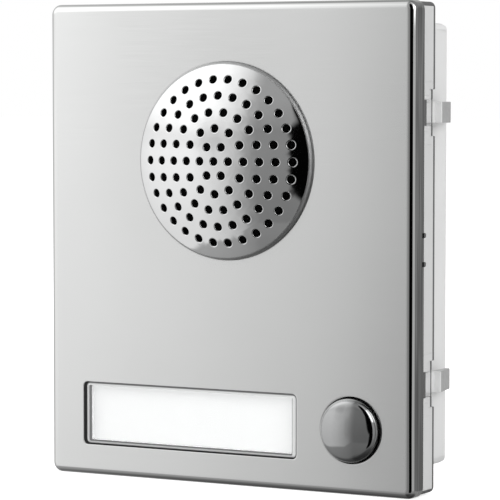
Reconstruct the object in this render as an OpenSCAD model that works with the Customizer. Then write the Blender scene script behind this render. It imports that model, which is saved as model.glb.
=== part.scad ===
// Door intercom call module: a steel front with a loudspeaker grille, a name window and a call button,
// on a moulded body that snaps into a frame. Millimetres, front towards -Y, +Z up.
// The origin is the centre of the plane where the module's seal meets its frame.

/* [Front plate] */
// Width of the steel front
plate_w = 101.5; // [98:0.5:115]
// Height of the steel front
plate_h = 117; // [114:0.5:130]
// Thickness of the sheet
plate_t = 1.2; // [0.8:0.1:1.5]
// Outer rounding between face and skirt
plate_edge_r = 1.9; // [1.6:0.1:3]
// Corner radius seen from the front
plate_corner_r = 2.4; // [2:0.1:4]
// Depth of the skirt, from the face to its rear edge
skirt_d = 4.9; // [4:0.1:5.5]
// Gap between the skirt and the body inside it
skirt_gap = 0.2; // [0.1:0.05:0.4]
// Height of a locking tab on the skirt
tab_h = 1.2; // [0.8:0.1:2]
// Reach of a locking tab behind the skirt
tab_d = 1.1; // [1:0.1:1.8]
// Distance between the two tabs of one side
tab_pitch = 6.8; // [4:0.2:12]
// Diameter of the welded studs
stud_d = 3; // [2:0.5:3]
// Length of the studs behind the plate
stud_l = 5; // [4.5:0.1:6]
// Stud centre to the plate's side
stud_side = 6.75; // [6.5:0.25:8]
// Upper stud centre to the plate's top
stud_top = 6.5; // [6.25:0.25:8]
// Lower stud centre above the centre line of window and button
stud_up = 24.95; // [22:0.05:28]
// Width of the stud nuts across their flats
nut_af = 5.5; // [4:0.5:5.5]
// Height of the stud nuts
nut_h = 2.4; // [1.6:0.1:2.5]

/* [Speaker grille] */
// Diameter of the dome where it leaves the plate
grille_d = 47.8; // [44:0.2:50]
// Centre of the grille to the plate's top
grille_down = 38.2; // [36:0.2:40]
// Sphere radius of the dome
grille_dome_r = 60; // [45:1:80]
// Straight wall between plate and dome
grille_wall = 0.35; // [0.1:0.05:1]
// Rounding between wall and dome
grille_shoulder_r = 0.95; // [0.9:0.05:1.5]
// Thickness of the grille sheet
grille_t = 0.8; // [0.5:0.1:0.8]
// Width of the flange behind the plate
grille_flange = 2.2; // [1.5:0.1:3]
// Gap between the grille and the plate's opening
grille_gap = 0.12; // [0.05:0.01:0.3]
// Diameter of the punched holes
hole_d = 2; // [1.4:0.1:2.4]
// Distance between rings of holes
hole_pitch = 3.95; // [3.4:0.05:4.1]
// Number of rings of holes round the middle one
hole_rings = 5; // [3:1:5]
// Thickness of the cloth behind the holes
cloth_t = 0.3; // [0.2:0.05:0.6]

/* [Name window] */
// Width of the window cut-out
window_w = 60.4; // [52:0.2:61]
// Height of the window cut-out
window_h = 15.5; // [12:0.1:16]
// Corner radius of the window cut-out
window_r = 1.2; // [0.8:0.1:2]
// Distance from the cut-out to the button's hole
row_gap = 6.45; // [6.2:0.05:9]
// Shift of window and button to the right of the middle
row_shift = 0.65; // [-1:0.05:1]
// Centre line of window and button to the plate's bottom
row_up = 15.55; // [15.2:0.05:18]
// Gap between the lens and its cut-out
lens_gap = 0.15; // [0.1:0.05:0.3]
// Depth of the lens face behind the plate's face
lens_sink = 0.25; // [0.1:0.05:0.5]
// Bevel along the border of the lens
lens_bevel = 0.7; // [0.3:0.1:0.7]
// Width of the lens flange behind the plate
lens_flange = 1.4; // [1:0.1:2]
// Thickness of the lens flange
lens_flange_t = 1; // [0.6:0.1:1.2]
// Ledge of the body behind the border of the lens
window_ledge = 0.85; // [0.6:0.05:1.2]
// Edge of the card to the edge of the cut-out
card_inset = 0.4; // [0.2:0.05:0.5]
// Thickness of the card
card_t = 0.3; // [0.2:0.05:0.5]
// Thickness of the light box's front
diffuser_t = 2; // [1.5:0.1:3]
// Walls of the light box to the edge of its front
light_wall_in = 2; // [1.5:0.1:3]
// Thickness of the light box's walls
light_wall_t = 1.2; // [0.8:0.1:1.6]

/* [Call button] */
// Diameter of the button
button_d = 15.4; // [13:0.1:16]
// Gap between the button and its hole
button_gap = 0.3; // [0.2:0.05:0.5]
// Button rim in front of the plate
button_proud = 0.9; // [0.6:0.1:2]
// Sphere radius of the button's dome
button_dome_r = 23; // [15:1:40]
// Rounding at the button's rim
button_shoulder_r = 0.8; // [0.4:0.1:1.2]
// Travel of the button
button_travel = 1; // [0.5:0.1:1]
// Diameter of the button's stem
stem_d = 5; // [4:0.1:6]
// Running gap round the stem
stem_gap = 0.05; // [0.02:0.01:0.1]
// Room for the spring behind the button
spring_room = 3.2; // [2.6:0.1:3.4]
// Wire of the button spring
spring_wire = 0.6; // [0.4:0.05:0.6]
// Turns of the button spring
spring_turns = 2.5; // [2:0.25:2.5]
// Thickness of the guide's floor
guide_t = 2; // [1.5:0.1:2.2]
// Wall of the body's collar round the guide
collar_t = 1.5; // [1:0.1:2]
// Thickness of the stem's retaining clip
clip_t = 0.8; // [0.5:0.1:0.8]

/* [Body] */
// Inset of the body from the plate's sides
housing_inset = 0.75; // [0.5:0.05:1]
// Inset of the body's seal from the plate's top and bottom
seal_inset = 0.3; // [0.2:0.05:0.5]
// Thickness of the seal's lips over the body's top and bottom
seal_lip_t = 1; // [0.8:0.1:1.2]
// Depth of the body behind the plate
housing_d = 10.2; // [9.6:0.1:12]
// Corner radius of the body
housing_corner_r = 1.5; // [1:0.1:1.8]
// Thickness of the body's side walls
wall_t = 2; // [1.6:0.1:2.4]
// Thickness of the panel behind the plate
panel_t = 2; // [2:0.1:2.6]
// Thickness of the body's rear flange
flange_t = 2; // [1.5:0.1:2.4]
// Thickness of the seat seal
gasket_t = 0.8; // [0.5:0.1:1.5]
// Gap between the seat seal and the rear cover
gasket_gap = 0.4; // [0.2:0.1:0.8]

/* [Latches] */
// Height of the latches above and below the centre
latch_z = 32.1; // [30:0.1:36]
// Height of a latch
latch_h = 5; // [3:0.1:6]
// Gap above and below a latch in its slot
latch_gap = 0.6; // [0.3:0.1:1]
// Thickness of a latch's tongue
latch_t = 1.2; // [1:0.1:1.4]
// Height of the hook on the tongue
hook_h = 1.6; // [1.2:0.1:1.7]
// Space between seat and hook, which takes the frame's edge
hook_gap = 3.4; // [2.4:0.1:4]
// Reach of the tongue behind the seat
latch_reach = 12; // [9:0.5:12]
// Room behind a latch for its spring movement
latch_room = 2; // [1.9:0.1:2.6]
// Diameter of a latch's pivot
pivot_d = 2; // [1.6:0.1:2.2]
// Running gap round the pivot
pivot_gap = 0.05; // [0.02:0.01:0.1]
// Thickness of the ears that carry the pivot
ear_t = 2.2; // [1.6:0.1:2.6]
// Height of the notch round a latch in the body's edge
notch_h = 11; // [9:0.5:12]
// Depth of that notch
notch_d = 0.6; // [0.4:0.1:0.8]

/* [Rear cover] */
// Inset of the cover from the plate's top and bottom
cover_inset = 5; // [4.6:0.1:6]
// Depth of the cover behind the body
cover_d = 18.9; // [17:0.1:22]
// Wall of the cover
cover_t = 2; // [1.6:0.1:2.2]
// Corner radius of the cover
cover_corner_r = 2.5; // [2.3:0.1:4]
// Rounding of the cover's rear edges
cover_edge_r = 2.5; // [2.3:0.1:4]
// Screw centre to the cover's side
screw_side = 7.2; // [7:0.1:9]
// Screw centre to the cover's top
screw_top = 6.9; // [6.7:0.1:9]
// Lower screw centre above the centre line of window and button
screw_up = 17.95; // [16:0.05:20]
// Diameter of the cover screws
screw_d = 2.9; // [2.4:0.1:3]
// Gap round the screws
screw_gap = 0.1; // [0.05:0.05:0.2]
// Diameter of the screw heads
head_d = 5.6; // [4.6:0.1:6]
// Height of the screw heads
head_h = 2; // [1.5:0.1:2.2]
// Length of the cover screws under their heads
screw_l = 20; // [18:0.5:21]
// Diameter of the posts and bosses that take the screws
boss_d = 7; // [6:0.1:7]
// Diameter of the screwdriver holes over the presets
access_d = 6; // [4:0.5:7]

/* [Loudspeaker] */
// Outer diameter of the loudspeaker
speaker_d = 36; // [34:1:38]
// Thickness of its foam ring
foam_t = 1.5; // [1:0.1:2]
// Width of its rim
rim_w = 3; // [2.6:0.1:3.2]
// Thickness of its pressed steel
basket_t = 0.8; // [0.6:0.1:1]
// Depth of the basket behind its rim
basket_d = 6; // [5.5:0.1:6.5]
// Diameter of the magnet
magnet_d = 24; // [22:0.5:25]
// Height of the magnet ring
magnet_h = 4; // [3:0.1:5]
// Thickness of the steel plates at its ends
pole_plate_t = 1.4; // [1:0.1:1.6]
// Diameter of the voice coil
coil_d = 10; // [9:0.1:10.5]
// Air gap on each side of the voice coil
coil_gap = 0.5; // [0.4:0.05:0.6]
// Thickness of cone, coil and surround
film_t = 0.4; // [0.3:0.05:0.5]

/* [Microphone] */
// Diameter of the microphone capsule
mic_d = 6; // [5:0.1:6]
// Height of the capsule
mic_h = 5; // [4:0.1:5.5]
// Wall of its rubber boot
boot_t = 1; // [0.8:0.1:1]
// Centre of the microphone to the rim of the grille
mic_rim = 4.4; // [4:0.1:5]

/* [Electronics] */
// Thickness of the circuit board
board_t = 1.6; // [1:0.1:2]
// Board to the rear face of the body
board_stand = 2; // [1.8:0.1:3]
// Gap between the board's edge and the cover
board_gap = 0.6; // [0.4:0.1:1]
// Number of wire terminals
terminal_ways = 8; // [4:1:10]
// Distance between wire terminals
terminal_pitch = 5.08; // [3.5:0.01:5.08]
// Height of the terminal block on the board
terminal_h = 9.4; // [8:0.1:10]
// Depth of the terminal block, upwards along the board
terminal_d = 9.6; // [8:0.1:11]
// Room round the terminal block in the cover's notch
terminal_room = 0.8; // [0.6:0.1:1.5]
// Side of a preset's square body
trimmer_w = 6.6; // [6:0.1:8]
// Height of a preset's body
trimmer_h = 4; // [3.5:0.1:5]
// Distance between the two presets
trimmer_pitch = 14; // [10:0.5:16]
// Diameter of a preset's rotor
rotor_d = 4.8; // [4:0.1:5]

/* [Hidden] */
$fn = 48;
// Overshoot of a cut past the face that it goes through
past = 0.5;
// Gap of flat pieces that slide or swing past each other
slide_gap = 0.05;
// Gap round pieces that drop into a recess
drop_gap = 0.2;

// Planes from front to rear
housing_rear_y = -gasket_t;
panel_front_y = housing_rear_y - housing_d;
face_y = panel_front_y - plate_t;
panel_rear_y = panel_front_y + panel_t;
skirt_rear_y = face_y + skirt_d;
board_front_y = housing_rear_y + board_stand;
board_rear_y = board_front_y + board_t;
cover_rear_y = housing_rear_y + cover_d;
cover_floor_y = cover_rear_y - cover_t;

// Front view layout
row_z = -plate_h / 2 + row_up;
hole_r = button_d / 2 + button_gap;
row_w = window_w + row_gap + 2 * hole_r;
window_x = row_shift - row_w / 2 + window_w / 2;
button_x = row_shift + row_w / 2 - hole_r;
grille_z = plate_h / 2 - grille_down;
grille_r = grille_d / 2;
grille_flange_r = grille_r + grille_flange;
stud_x = plate_w / 2 - stud_side;
stud_z = plate_h / 2 - stud_top;
stud_low_z = row_z + stud_up;

// Body and cover outlines
housing_w = plate_w - 2 * housing_inset;
seal_h = plate_h - 2 * seal_inset;
housing_h = seal_h - 2 * seal_lip_t;
collar_w = plate_w - 2 * plate_t - 2 * skirt_gap;
collar_h = plate_h - 2 * plate_t - 2 * skirt_gap;
cavity_w = housing_w - 2 * wall_t;
cavity_h = housing_h - 2 * wall_t;
tongue_x = housing_w / 2 - hook_h;
// Round root of a latch, and the room in front of it behind the skirt
root_r = 1.5;
root_room = 0.8;
slot_front_y = skirt_rear_y + root_room / 2;
pivot_x = tongue_x - root_r;
pivot_y = skirt_rear_y + root_room + root_r;
cover_w = 2 * (tongue_x - latch_t - latch_room);
cover_h = plate_h - 2 * cover_inset;
board_w = cover_w - 2 * cover_t - 2 * board_gap;
board_h = cover_h - 2 * cover_t - 2 * board_gap;
screw_x = cover_w / 2 - screw_side;
screw_z = cover_h / 2 - screw_top;
screw_low_z = row_z + screw_up;
slot_in_x = pivot_x - root_r / 3;
slot_h = latch_h + 2 * latch_gap;

// Button stack, from the button's rear face backwards
// Rest height of the cap's rear face over the guide's rim
cap_lift = 0.2;
cap_rear_y = panel_rear_y - cap_lift;
guide_floor_y = cap_rear_y + spring_room;
guide_rear_y = guide_floor_y + guide_t;
guide_rim = 1.5;
guide_r = hole_r + guide_rim;
groove_y = guide_rear_y + slide_gap;
groove_cut = 0.5;
groove_d = stem_d - 2 * groove_cut;
// Stem behind its groove, and room left in front of the switch at full travel
stem_tail = 0.4;
press_spare = 0.2;
stem_end_y = groove_y + clip_t + stem_tail;
switch_w = 6;
switch_front_y = stem_end_y + button_travel + press_spare;
switch_floor = 0.5;
plunger_d = 3.4;
plunger_in = 0.5;
// Spring between the stem and the guide's cup, and the step from the guide's flange to that cup
spring_in = 1.5;
spring_out = 0.6;
spring_r = stem_d / 2 + spring_in + spring_wire / 2;
cup_in_r = spring_r + spring_wire / 2 + spring_out;
cup_r = cup_in_r + guide_rim;
guide_step_y = panel_rear_y + button_travel + press_spare;
guide_flange_y = guide_step_y + guide_t / 2;

// Loudspeaker stack, from the panel backwards
mic_z = grille_z - grille_r + mic_rim;
boot_r = mic_d / 2 + boot_t;
boot_h = mic_h;
mic_collar_t = 1.2;
mic_collar_r = boot_r + mic_collar_t;
speaker_r = speaker_d / 2;
speaker_z = mic_z + mic_collar_r + drop_gap + speaker_r;
rim_front_y = panel_rear_y + foam_t;
rim_rear_y = rim_front_y + basket_t;
basket_rear_y = rim_rear_y + basket_d;
top_plate_y = basket_rear_y + basket_t;
magnet_y = top_plate_y + pole_plate_t;
yoke_y = magnet_y + magnet_h;
surround_w = 0.8;
cone_r = speaker_r - rim_w - surround_w;
// Cone: its edge inside the surround, its front under the rim, and its depth
cone_edge_r = cone_r - 2 * slide_gap;
cone_front = -0.6;
cone_depth = 3.3;
basket_r = magnet_d / 2 + basket_t;
pole_r = coil_d / 2 - film_t - coil_gap;
gap_r = coil_d / 2 + coil_gap;
clamp_boss_r = 2.5;
clamp_room = 1.5;
clamp_r = speaker_r + clamp_boss_r + clamp_room;
clamp_t = 1;
clamp_screw_d = 2.4;
clamp_head_d = 4.4;
clamp_head_h = 1.6;
lead_d = 0.9;
lead_r = speaker_r - 1.2 * lead_d;

// Places of the small parts on the rear of the board, across and up
capacitor_places = [[18, -6], [29, -12], [20, -20], [-27, 12]];
capacitor_d = 8;
capacitor_h = 10;
chip_places = [[-12, -24], [5, -26]];
resistor_places = [[-24, -20], [-24, -24], [-24, -28], [24, 6], [24, 10], [24, 14]];
trimmer_x = -19;
trimmer_z = -8;
// Well of a preset's rotor, and the hub under the rotor
rotor_well = 1.4;
rotor_well_y = board_rear_y + trimmer_h - rotor_well;
hub_d = 1.6;
hub_floor = 0.6;
led_pitch = window_w / 3;
// Walls at the ends of the terminal block, and its edge over the board's edge
terminal_end = 0.7;
terminal_w = terminal_ways * terminal_pitch + 2 * terminal_end;
terminal_z = -board_h / 2 + drop_gap;
terminal_rear_y = board_rear_y + terminal_h;
// Depth and wall of a terminal's screw well
terminal_well_d = 3;
terminal_wall = 0.6;

// Seats of the cover screws, sunk into the cover
head_sink = 0.5;
head_seat_y = cover_rear_y - head_h - head_sink;
screw_tip_y = head_seat_y - screw_l;
well_front_y = board_rear_y + 2 * drop_gap;

// Round rod along Y
module rod(d, y0, y1) {
    translate([0, y0, 0]) rotate([-90, 0, 0]) cylinder(d = d, h = y1 - y0);
}

// Flat shape drawn in X and Z, thick from y0 to y1
module plate_of(y0, y1) {
    translate([0, y1, 0]) rotate([90, 0, 0]) linear_extrude(y1 - y0) children();
}

// Profile turned round a Y axis, its height measured forwards from y0
module turned(y0) {
    translate([0, y0, 0]) rotate([90, 0, 0]) rotate_extrude() children();
}

// Place on the front view
module at(x, z) {
    translate([x, 0, z]) children();
}

// Copies to the right and the left
module both_sides() {
    children();
    mirror([1, 0, 0]) children();
}

// Copies at the four corners of a rectangle
module four(x, z_top, z_low) {
    for (sx = [-1, 1], z = [z_low, z_top]) at(sx * x, z) children();
}

// Rectangle with round corners
module rounded(w, h, r) {
    square([w - 2 * r, h], center = true);
    square([w, h - 2 * r], center = true);
    for (sx = [-1, 1], sy = [-1, 1]) translate([sx * (w / 2 - r), sy * (h / 2 - r)]) circle(r);
}

// Slab with round corners from y0 to y1
module slab(w, h, y0, y1, r) {
    plate_of(y0, y1) rounded(w, h, r);
}

// Side view of a pan: a width across, a depth up, with its two upper corners rounded
module pan_profile(w, d, r) {
    translate([-w / 2, 0]) square([w, d - r]);
    translate([-w / 2 + r, 0]) square([w - 2 * r, d]);
    for (s = [-1, 1]) translate([s * (w / 2 - r), d - r]) circle(r);
}

// Box from y_open to y_closed whose corners and whose edges at y_closed are rounded
module pan(w, h, y_open, y_closed, corner_r, edge_r) {
    d = abs(y_closed - y_open);
    way = y_closed > y_open ? 1 : -1;
    intersection() {
        slab(w, h, min(y_open, y_closed), max(y_open, y_closed), corner_r);
        translate([0, y_open, -h]) scale_y(way) linear_extrude(2 * h) pan_profile(w, d, edge_r);
        translate([-w, y_open, 0]) scale_y(way) rotate([90, 0, 90]) linear_extrude(2 * w)
            side_profile(h, d, edge_r);
    }
}

// The same profile lying on its side, for the extrusion along X
module side_profile(h, d, r) {
    rotate(-90) pan_profile(h, d, r);
}

// Mirror along Y when way is -1
module scale_y(way) {
    mirror([0, way < 0 ? 1 : 0, 0]) children();
}

// Half section of a domed cap of radius r: a wall from base to wall, a rounding s, a sphere of radius dome
module dome_section(r, dome, s, wall, base) {
    centre = wall - sqrt(pow(dome - s, 2) - pow(r - s, 2));
    lean = asin((r - s) / (dome - s));
    translate([0, base]) square([r, wall - base]);
    translate([r - s, wall]) circle(s);
    intersection() {
        translate([0, centre]) circle(dome, $fn = 180);
        polygon([[0, centre], [2 * dome * tan(lean), centre + 2 * dome], [0, centre + 2 * dome]]);
        translate([0, base]) square([r, 2 * dome]);
    }
}

// Screw from its head's seat at y0 forwards, head behind, with a cross recess
module screw(d, l, hd, hh, y0) {
    recess_w = hd / 6;
    difference() {
        union() {
            rod(d, y0 - l, y0 + hh / 2);
            rod(hd, y0, y0 + hh);
        }
        for (a = [0, 90]) rotate([0, a, 0]) translate([-hd / 3, y0 + hh / 2, -recess_w / 2])
            cube([2 * hd / 3, hh, recess_w]);
    }
}

// The four latch slots, cut through the body's side walls
module latch_cuts(y0, y1) {
    for (sz = [-1, 1]) both_sides() translate([slot_in_x, y0, sz * latch_z - slot_h / 2])
        cube([housing_w, y1 - y0, slot_h]);
}

// Shallow notches round the slots in the body's rear edge
module notch_cuts(y0, y1) {
    for (sz = [-1, 1]) both_sides() translate([housing_w / 2 - notch_d, y0, sz * latch_z - notch_h / 2])
        cube([wall_t, y1 - y0, notch_h]);
}

module front_plate() {
    color("silver") {
        difference() {
            pan(plate_w, plate_h, skirt_rear_y, face_y, plate_corner_r, plate_edge_r);
            pan(plate_w - 2 * plate_t, plate_h - 2 * plate_t, skirt_rear_y + past, panel_front_y,
                plate_corner_r - plate_t, plate_edge_r - plate_t);
            at(0, grille_z) rod(grille_d + 2 * grille_gap, face_y - past, panel_front_y + past);
            at(button_x, row_z) rod(2 * hole_r, face_y - past, panel_front_y + past);
            at(window_x, row_z) slab(window_w, window_h, face_y - past, panel_front_y + past, window_r);
        }
        for (sz = [-1, 1]) both_sides() translate([plate_w / 2 - plate_t, skirt_rear_y, sz * tab_pitch / 2]) {
            translate([0, -past, -tab_h / 2]) cube([plate_t, past + tab_d - tab_h / 2, tab_h]);
            translate([0, tab_d - tab_h / 2, 0]) rotate([0, 90, 0]) cylinder(d = tab_h, h = plate_t);
        }
    }
}

module plate_studs() {
    color("lightgray") four(stud_x, stud_z, stud_low_z) rod(stud_d, panel_front_y, panel_front_y + stud_l);
}

module plate_nuts() {
    bore_d = stud_d + 2 * screw_gap;
    color("gray") four(stud_x, stud_z, stud_low_z) difference() {
        plate_of(panel_rear_y, panel_rear_y + nut_h) circle(d = nut_af / cos(30), $fn = 6);
        rod(bore_d, panel_rear_y - past, panel_rear_y + nut_h + past);
    }
}

module speaker_grille() {
    base = -plate_t - grille_t;
    inner_r = grille_r - grille_t;
    dome_y = face_y - grille_wall + sqrt(pow(grille_dome_r - grille_shoulder_r, 2)
        - pow(grille_r - grille_shoulder_r, 2));
    color("gainsboro") at(0, grille_z) difference() {
        turned(face_y) {
            difference() {
                dome_section(grille_r, grille_dome_r, grille_shoulder_r, grille_wall, base);
                dome_section(inner_r, grille_dome_r - grille_t, grille_shoulder_r - grille_t,
                    grille_wall, base - past);
            }
            translate([inner_r, base]) square([grille_flange + grille_t, grille_t]);
        }
        translate([0, dome_y, 0]) punch();
        for (ring = [1 : hole_rings], k = [0 : 6 * ring - 1])
            translate([0, dome_y, 0]) rotate([0, k * 60 / ring, 0])
                rotate([0, 0, asin(ring * hole_pitch / grille_dome_r)]) punch();
    }
}

// One punched hole, along the sphere's radius towards the front
module punch() {
    rod(hole_d, -grille_dome_r - past, -grille_dome_r + 2 * grille_t);
}

module grille_cloth() {
    cloth_r = grille_r - grille_t - drop_gap;
    recess_y = panel_front_y + grille_t;
    color("black") at(0, grille_z) rod(2 * cloth_r, recess_y - cloth_t, recess_y);
}

module name_lens() {
    lens_w = window_w - 2 * lens_gap;
    lens_h = window_h - 2 * lens_gap;
    front_y = face_y + lens_sink;
    color("lightcyan", 0.4) at(window_x, row_z) {
        intersection() {
            slab(lens_w, lens_h, front_y, panel_front_y + past, window_r - lens_gap);
            translate([0, 0, -lens_h]) linear_extrude(2 * lens_h) bevelled(lens_w, front_y);
            rotate([0, 90, 0]) translate([0, 0, -lens_w]) linear_extrude(2 * lens_w)
                bevelled(lens_h, front_y);
        }
        slab(window_w + 2 * lens_flange, window_h + 2 * lens_flange,
            panel_front_y, panel_front_y + lens_flange_t, window_r);
    }
}

// Side view of the lens face, its two front corners bevelled
module bevelled(w, front_y) {
    polygon([
        [-w / 2, panel_front_y + past],
        [-w / 2, front_y + lens_bevel],
        [-w / 2 + lens_bevel, front_y],
        [w / 2 - lens_bevel, front_y],
        [w / 2, front_y + lens_bevel],
        [w / 2, panel_front_y + past]
    ]);
}

module name_card() {
    color("white") at(window_x, row_z)
        slab(window_w - 2 * card_inset, window_h - 2 * card_inset,
            panel_rear_y, panel_rear_y + card_t, window_r / 2);
}

module card_light_box() {
    front_y = panel_rear_y + card_t;
    tube_w = window_w - 2 * light_wall_in;
    tube_h = window_h - 2 * light_wall_in;
    color("ivory") at(window_x, row_z) difference() {
        union() {
            slab(window_w, window_h, front_y, front_y + diffuser_t, window_r);
            slab(tube_w, tube_h, front_y, board_front_y, window_r);
        }
        slab(tube_w - 2 * light_wall_t, tube_h - 2 * light_wall_t, front_y + diffuser_t, board_front_y + past,
            window_r / 2);
    }
}

module card_leds() {
    led_w = 3.2;
    led_t = 1.2;
    led_h = 2.8;
    color("lemonchiffon") at(window_x, row_z) for (k = [-1 : 1])
        translate([k * led_pitch - led_w / 2, board_front_y - led_t, -led_h / 2]) cube([led_w, led_t, led_h]);
}

module push_button() {
    color("gainsboro") at(button_x, row_z) difference() {
        union() {
            turned(face_y) dome_section(button_d / 2, button_dome_r, button_shoulder_r,
                button_proud - button_shoulder_r / 2, face_y - cap_rear_y);
            rod(stem_d, cap_rear_y - past, stem_end_y);
        }
        difference() {
            rod(stem_d + past, groove_y, groove_y + clip_t);
            rod(groove_d, groove_y - past, groove_y + clip_t + past);
        }
    }
}

module button_clip() {
    clip_w = 1.5;
    mouth = groove_d - 2 * drop_gap;
    color("dimgray") at(button_x, row_z) difference() {
        rod(stem_d + 2 * clip_w, groove_y, groove_y + clip_t);
        rod(groove_d, groove_y - past, groove_y + clip_t + past);
        translate([0, groove_y - past, -mouth / 2]) cube([stem_d, clip_t + 2 * past, mouth]);
    }
}

module button_guide() {
    color("darkslategray") at(button_x, row_z) difference() {
        union() {
            rod(2 * guide_r, panel_rear_y, guide_flange_y);
            rod(2 * cup_r, panel_rear_y, guide_rear_y);
        }
        rod(2 * hole_r, panel_rear_y - past, guide_step_y);
        rod(2 * cup_in_r, panel_rear_y - past, guide_floor_y);
        rod(stem_d + 2 * stem_gap, guide_floor_y - past, guide_rear_y + past);
    }
}

// Points of the spring's tube: rings of a few points square to a helix
spring_sides = 6;
spring_rings = ceil(spring_turns * 12);
spring_y0 = cap_rear_y + spring_wire / 2 + slide_gap;
spring_y1 = guide_floor_y - spring_wire / 2 - slide_gap;
function spring_point(i, j) =
    let (turn = 360 * spring_turns * i / spring_rings)
    let (side = 360 * j / spring_sides)
    let (radius = spring_r + spring_wire / 2 * cos(side))
    let (along = spring_y0 + (spring_y1 - spring_y0) * i / spring_rings)
    [radius * cos(turn), along + spring_wire / 2 * sin(side), radius * sin(turn)];

module button_spring() {
    points = [for (i = [0 : spring_rings], j = [0 : spring_sides - 1]) spring_point(i, j)];
    last = spring_rings * spring_sides;
    skin = [
        for (i = [0 : spring_rings - 1], j = [0 : spring_sides - 1])
            let (a = i * spring_sides + j)
            let (b = i * spring_sides + (j + 1) % spring_sides)
            each [[a, a + spring_sides, b], [b, a + spring_sides, b + spring_sides]]
    ];
    first_end = [for (j = [1 : spring_sides - 2]) [0, j, j + 1]];
    last_end = [for (j = [1 : spring_sides - 2]) [last, last + j + 1, last + j]];
    color("silver") at(button_x, row_z) polyhedron(points, concat(skin, first_end, last_end));
}

module call_switch() {
    color("black") at(button_x, row_z) difference() {
        translate([-switch_w / 2, switch_front_y, -switch_w / 2])
            cube([switch_w, board_front_y - switch_front_y, switch_w]);
        rod(plunger_d + 2 * stem_gap, switch_front_y - past, board_front_y - switch_floor);
    }
}

module switch_plunger() {
    color("firebrick") at(button_x, row_z)
        rod(plunger_d, stem_end_y + slide_gap, switch_front_y + plunger_in);
}

module mid_housing() {
    card_frame = drop_gap + light_wall_t;
    color("gainsboro") difference() {
        union() {
            difference() {
                union() {
                    pan(collar_w, collar_h, skirt_rear_y + past, panel_front_y, housing_corner_r,
                        plate_edge_r - plate_t + skirt_gap);
                    difference() {
                        seal_outline(skirt_rear_y, housing_rear_y);
                        lip_rooms(skirt_rear_y - past, housing_rear_y + past);
                    }
                }
                slab(cavity_w, cavity_h, panel_rear_y, housing_rear_y - flange_t, housing_corner_r / 2);
                slab(cover_w - 2 * cover_t, cover_h - 2 * cover_t, housing_rear_y - flange_t - past,
                    housing_rear_y + past, housing_corner_r);
            }
            four(screw_x, screw_z, screw_low_z) rod(boss_d, panel_rear_y - past, board_front_y);
            clamp_places() rod(2 * clamp_boss_r, panel_rear_y - past, rim_rear_y);
            at(0, mic_z) rod(2 * mic_collar_r, panel_rear_y - past, panel_rear_y + boot_h / 2);
            at(button_x, row_z) rod(2 * (guide_r + collar_t), panel_rear_y - past, guide_flange_y);
            at(window_x, row_z) slab(window_w + 2 * card_frame, window_h + 2 * card_frame,
                panel_rear_y - past, panel_rear_y + diffuser_t, window_r);
            latch_ears();
        }
        at(0, grille_z) rod(2 * (grille_flange_r + drop_gap), panel_front_y - past, panel_front_y + grille_t);
        at(0, speaker_z) rod(2 * (speaker_r - rim_w), panel_front_y, panel_rear_y + past);
        at(0, mic_z) rod(mic_d / 2, panel_front_y, panel_rear_y + past);
        at(0, mic_z) rod(2 * boot_r + 2 * slide_gap, panel_rear_y, panel_rear_y + boot_h);
        at(button_x, row_z) rod(2 * hole_r, panel_front_y - past, panel_rear_y + past);
        at(button_x, row_z) rod(2 * guide_r + 2 * slide_gap, panel_rear_y, guide_flange_y + past);
        at(window_x, row_z) {
            slab(window_w + 2 * (lens_flange + lens_gap), window_h + 2 * (lens_flange + lens_gap),
                panel_front_y - past, panel_front_y + lens_flange_t, window_r);
            slab(window_w - 2 * window_ledge, window_h - 2 * window_ledge,
                panel_front_y, panel_rear_y + past, window_r);
            slab(window_w + 2 * drop_gap, window_h + 2 * drop_gap,
                panel_rear_y, panel_rear_y + diffuser_t + past, window_r);
        }
        four(stud_x, stud_z, stud_low_z)
            rod(stud_d + 2 * screw_gap, panel_front_y - past, panel_rear_y + past);
        four(screw_x, screw_z, screw_low_z)
            rod(screw_d + 2 * screw_gap, screw_tip_y - past, board_front_y + past);
        clamp_places() rod(clamp_screw_d + 2 * slide_gap, panel_rear_y - drop_gap, rim_rear_y + past);
        latch_cuts(slot_front_y, housing_rear_y + past);
        notch_cuts(housing_rear_y - flange_t, housing_rear_y + past);
        for (sz = [-1, 1]) both_sides() at(collar_w / 2, sz * tab_pitch / 2)
            translate([0, skirt_rear_y - past, -tab_h / 2 - slide_gap])
                cube([wall_t, past + tab_d + slide_gap, tab_h + 2 * slide_gap]);
        pivot_bores();
    }
}

// Ears inside the body's side walls that carry the latches' pivots
module latch_ears() {
    ear_in_x = pivot_x - root_r - drop_gap;
    ear_w = 2 * (root_r + drop_gap);
    for (sz = [-1, 1], ss = [-1, 1]) both_sides()
        translate([ear_in_x, pivot_y - ear_w / 2, sz * latch_z + ss * (slot_h + ear_t) / 2 - ear_t / 2])
            cube([(housing_w - wall_t) / 2 - ear_in_x, ear_w, ear_t]);
}

module pivot_bores() {
    bore_l = slot_h + 2 * ear_t + 2 * past;
    for (sz = [-1, 1]) both_sides() translate([pivot_x, pivot_y, sz * latch_z - bore_l / 2])
        cylinder(d = pivot_d + 2 * pivot_gap, h = bore_l);
}

module seat_gasket() {
    color("dimgray") {
        difference() {
            seal_outline(housing_rear_y, 0);
            slab(cover_w + 2 * gasket_gap, cover_h + 2 * gasket_gap, housing_rear_y - past, past,
                cover_corner_r);
            latch_cuts(housing_rear_y - past, past);
            notch_cuts(housing_rear_y - past, past);
        }
        intersection() {
            seal_outline(skirt_rear_y + drop_gap, housing_rear_y + past);
            lip_rooms(skirt_rear_y, 0);
        }
    }
}

// Outline that the body and its seal share
module seal_outline(y0, y1) {
    slab(housing_w, seal_h, y0, y1, housing_corner_r);
}

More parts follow.
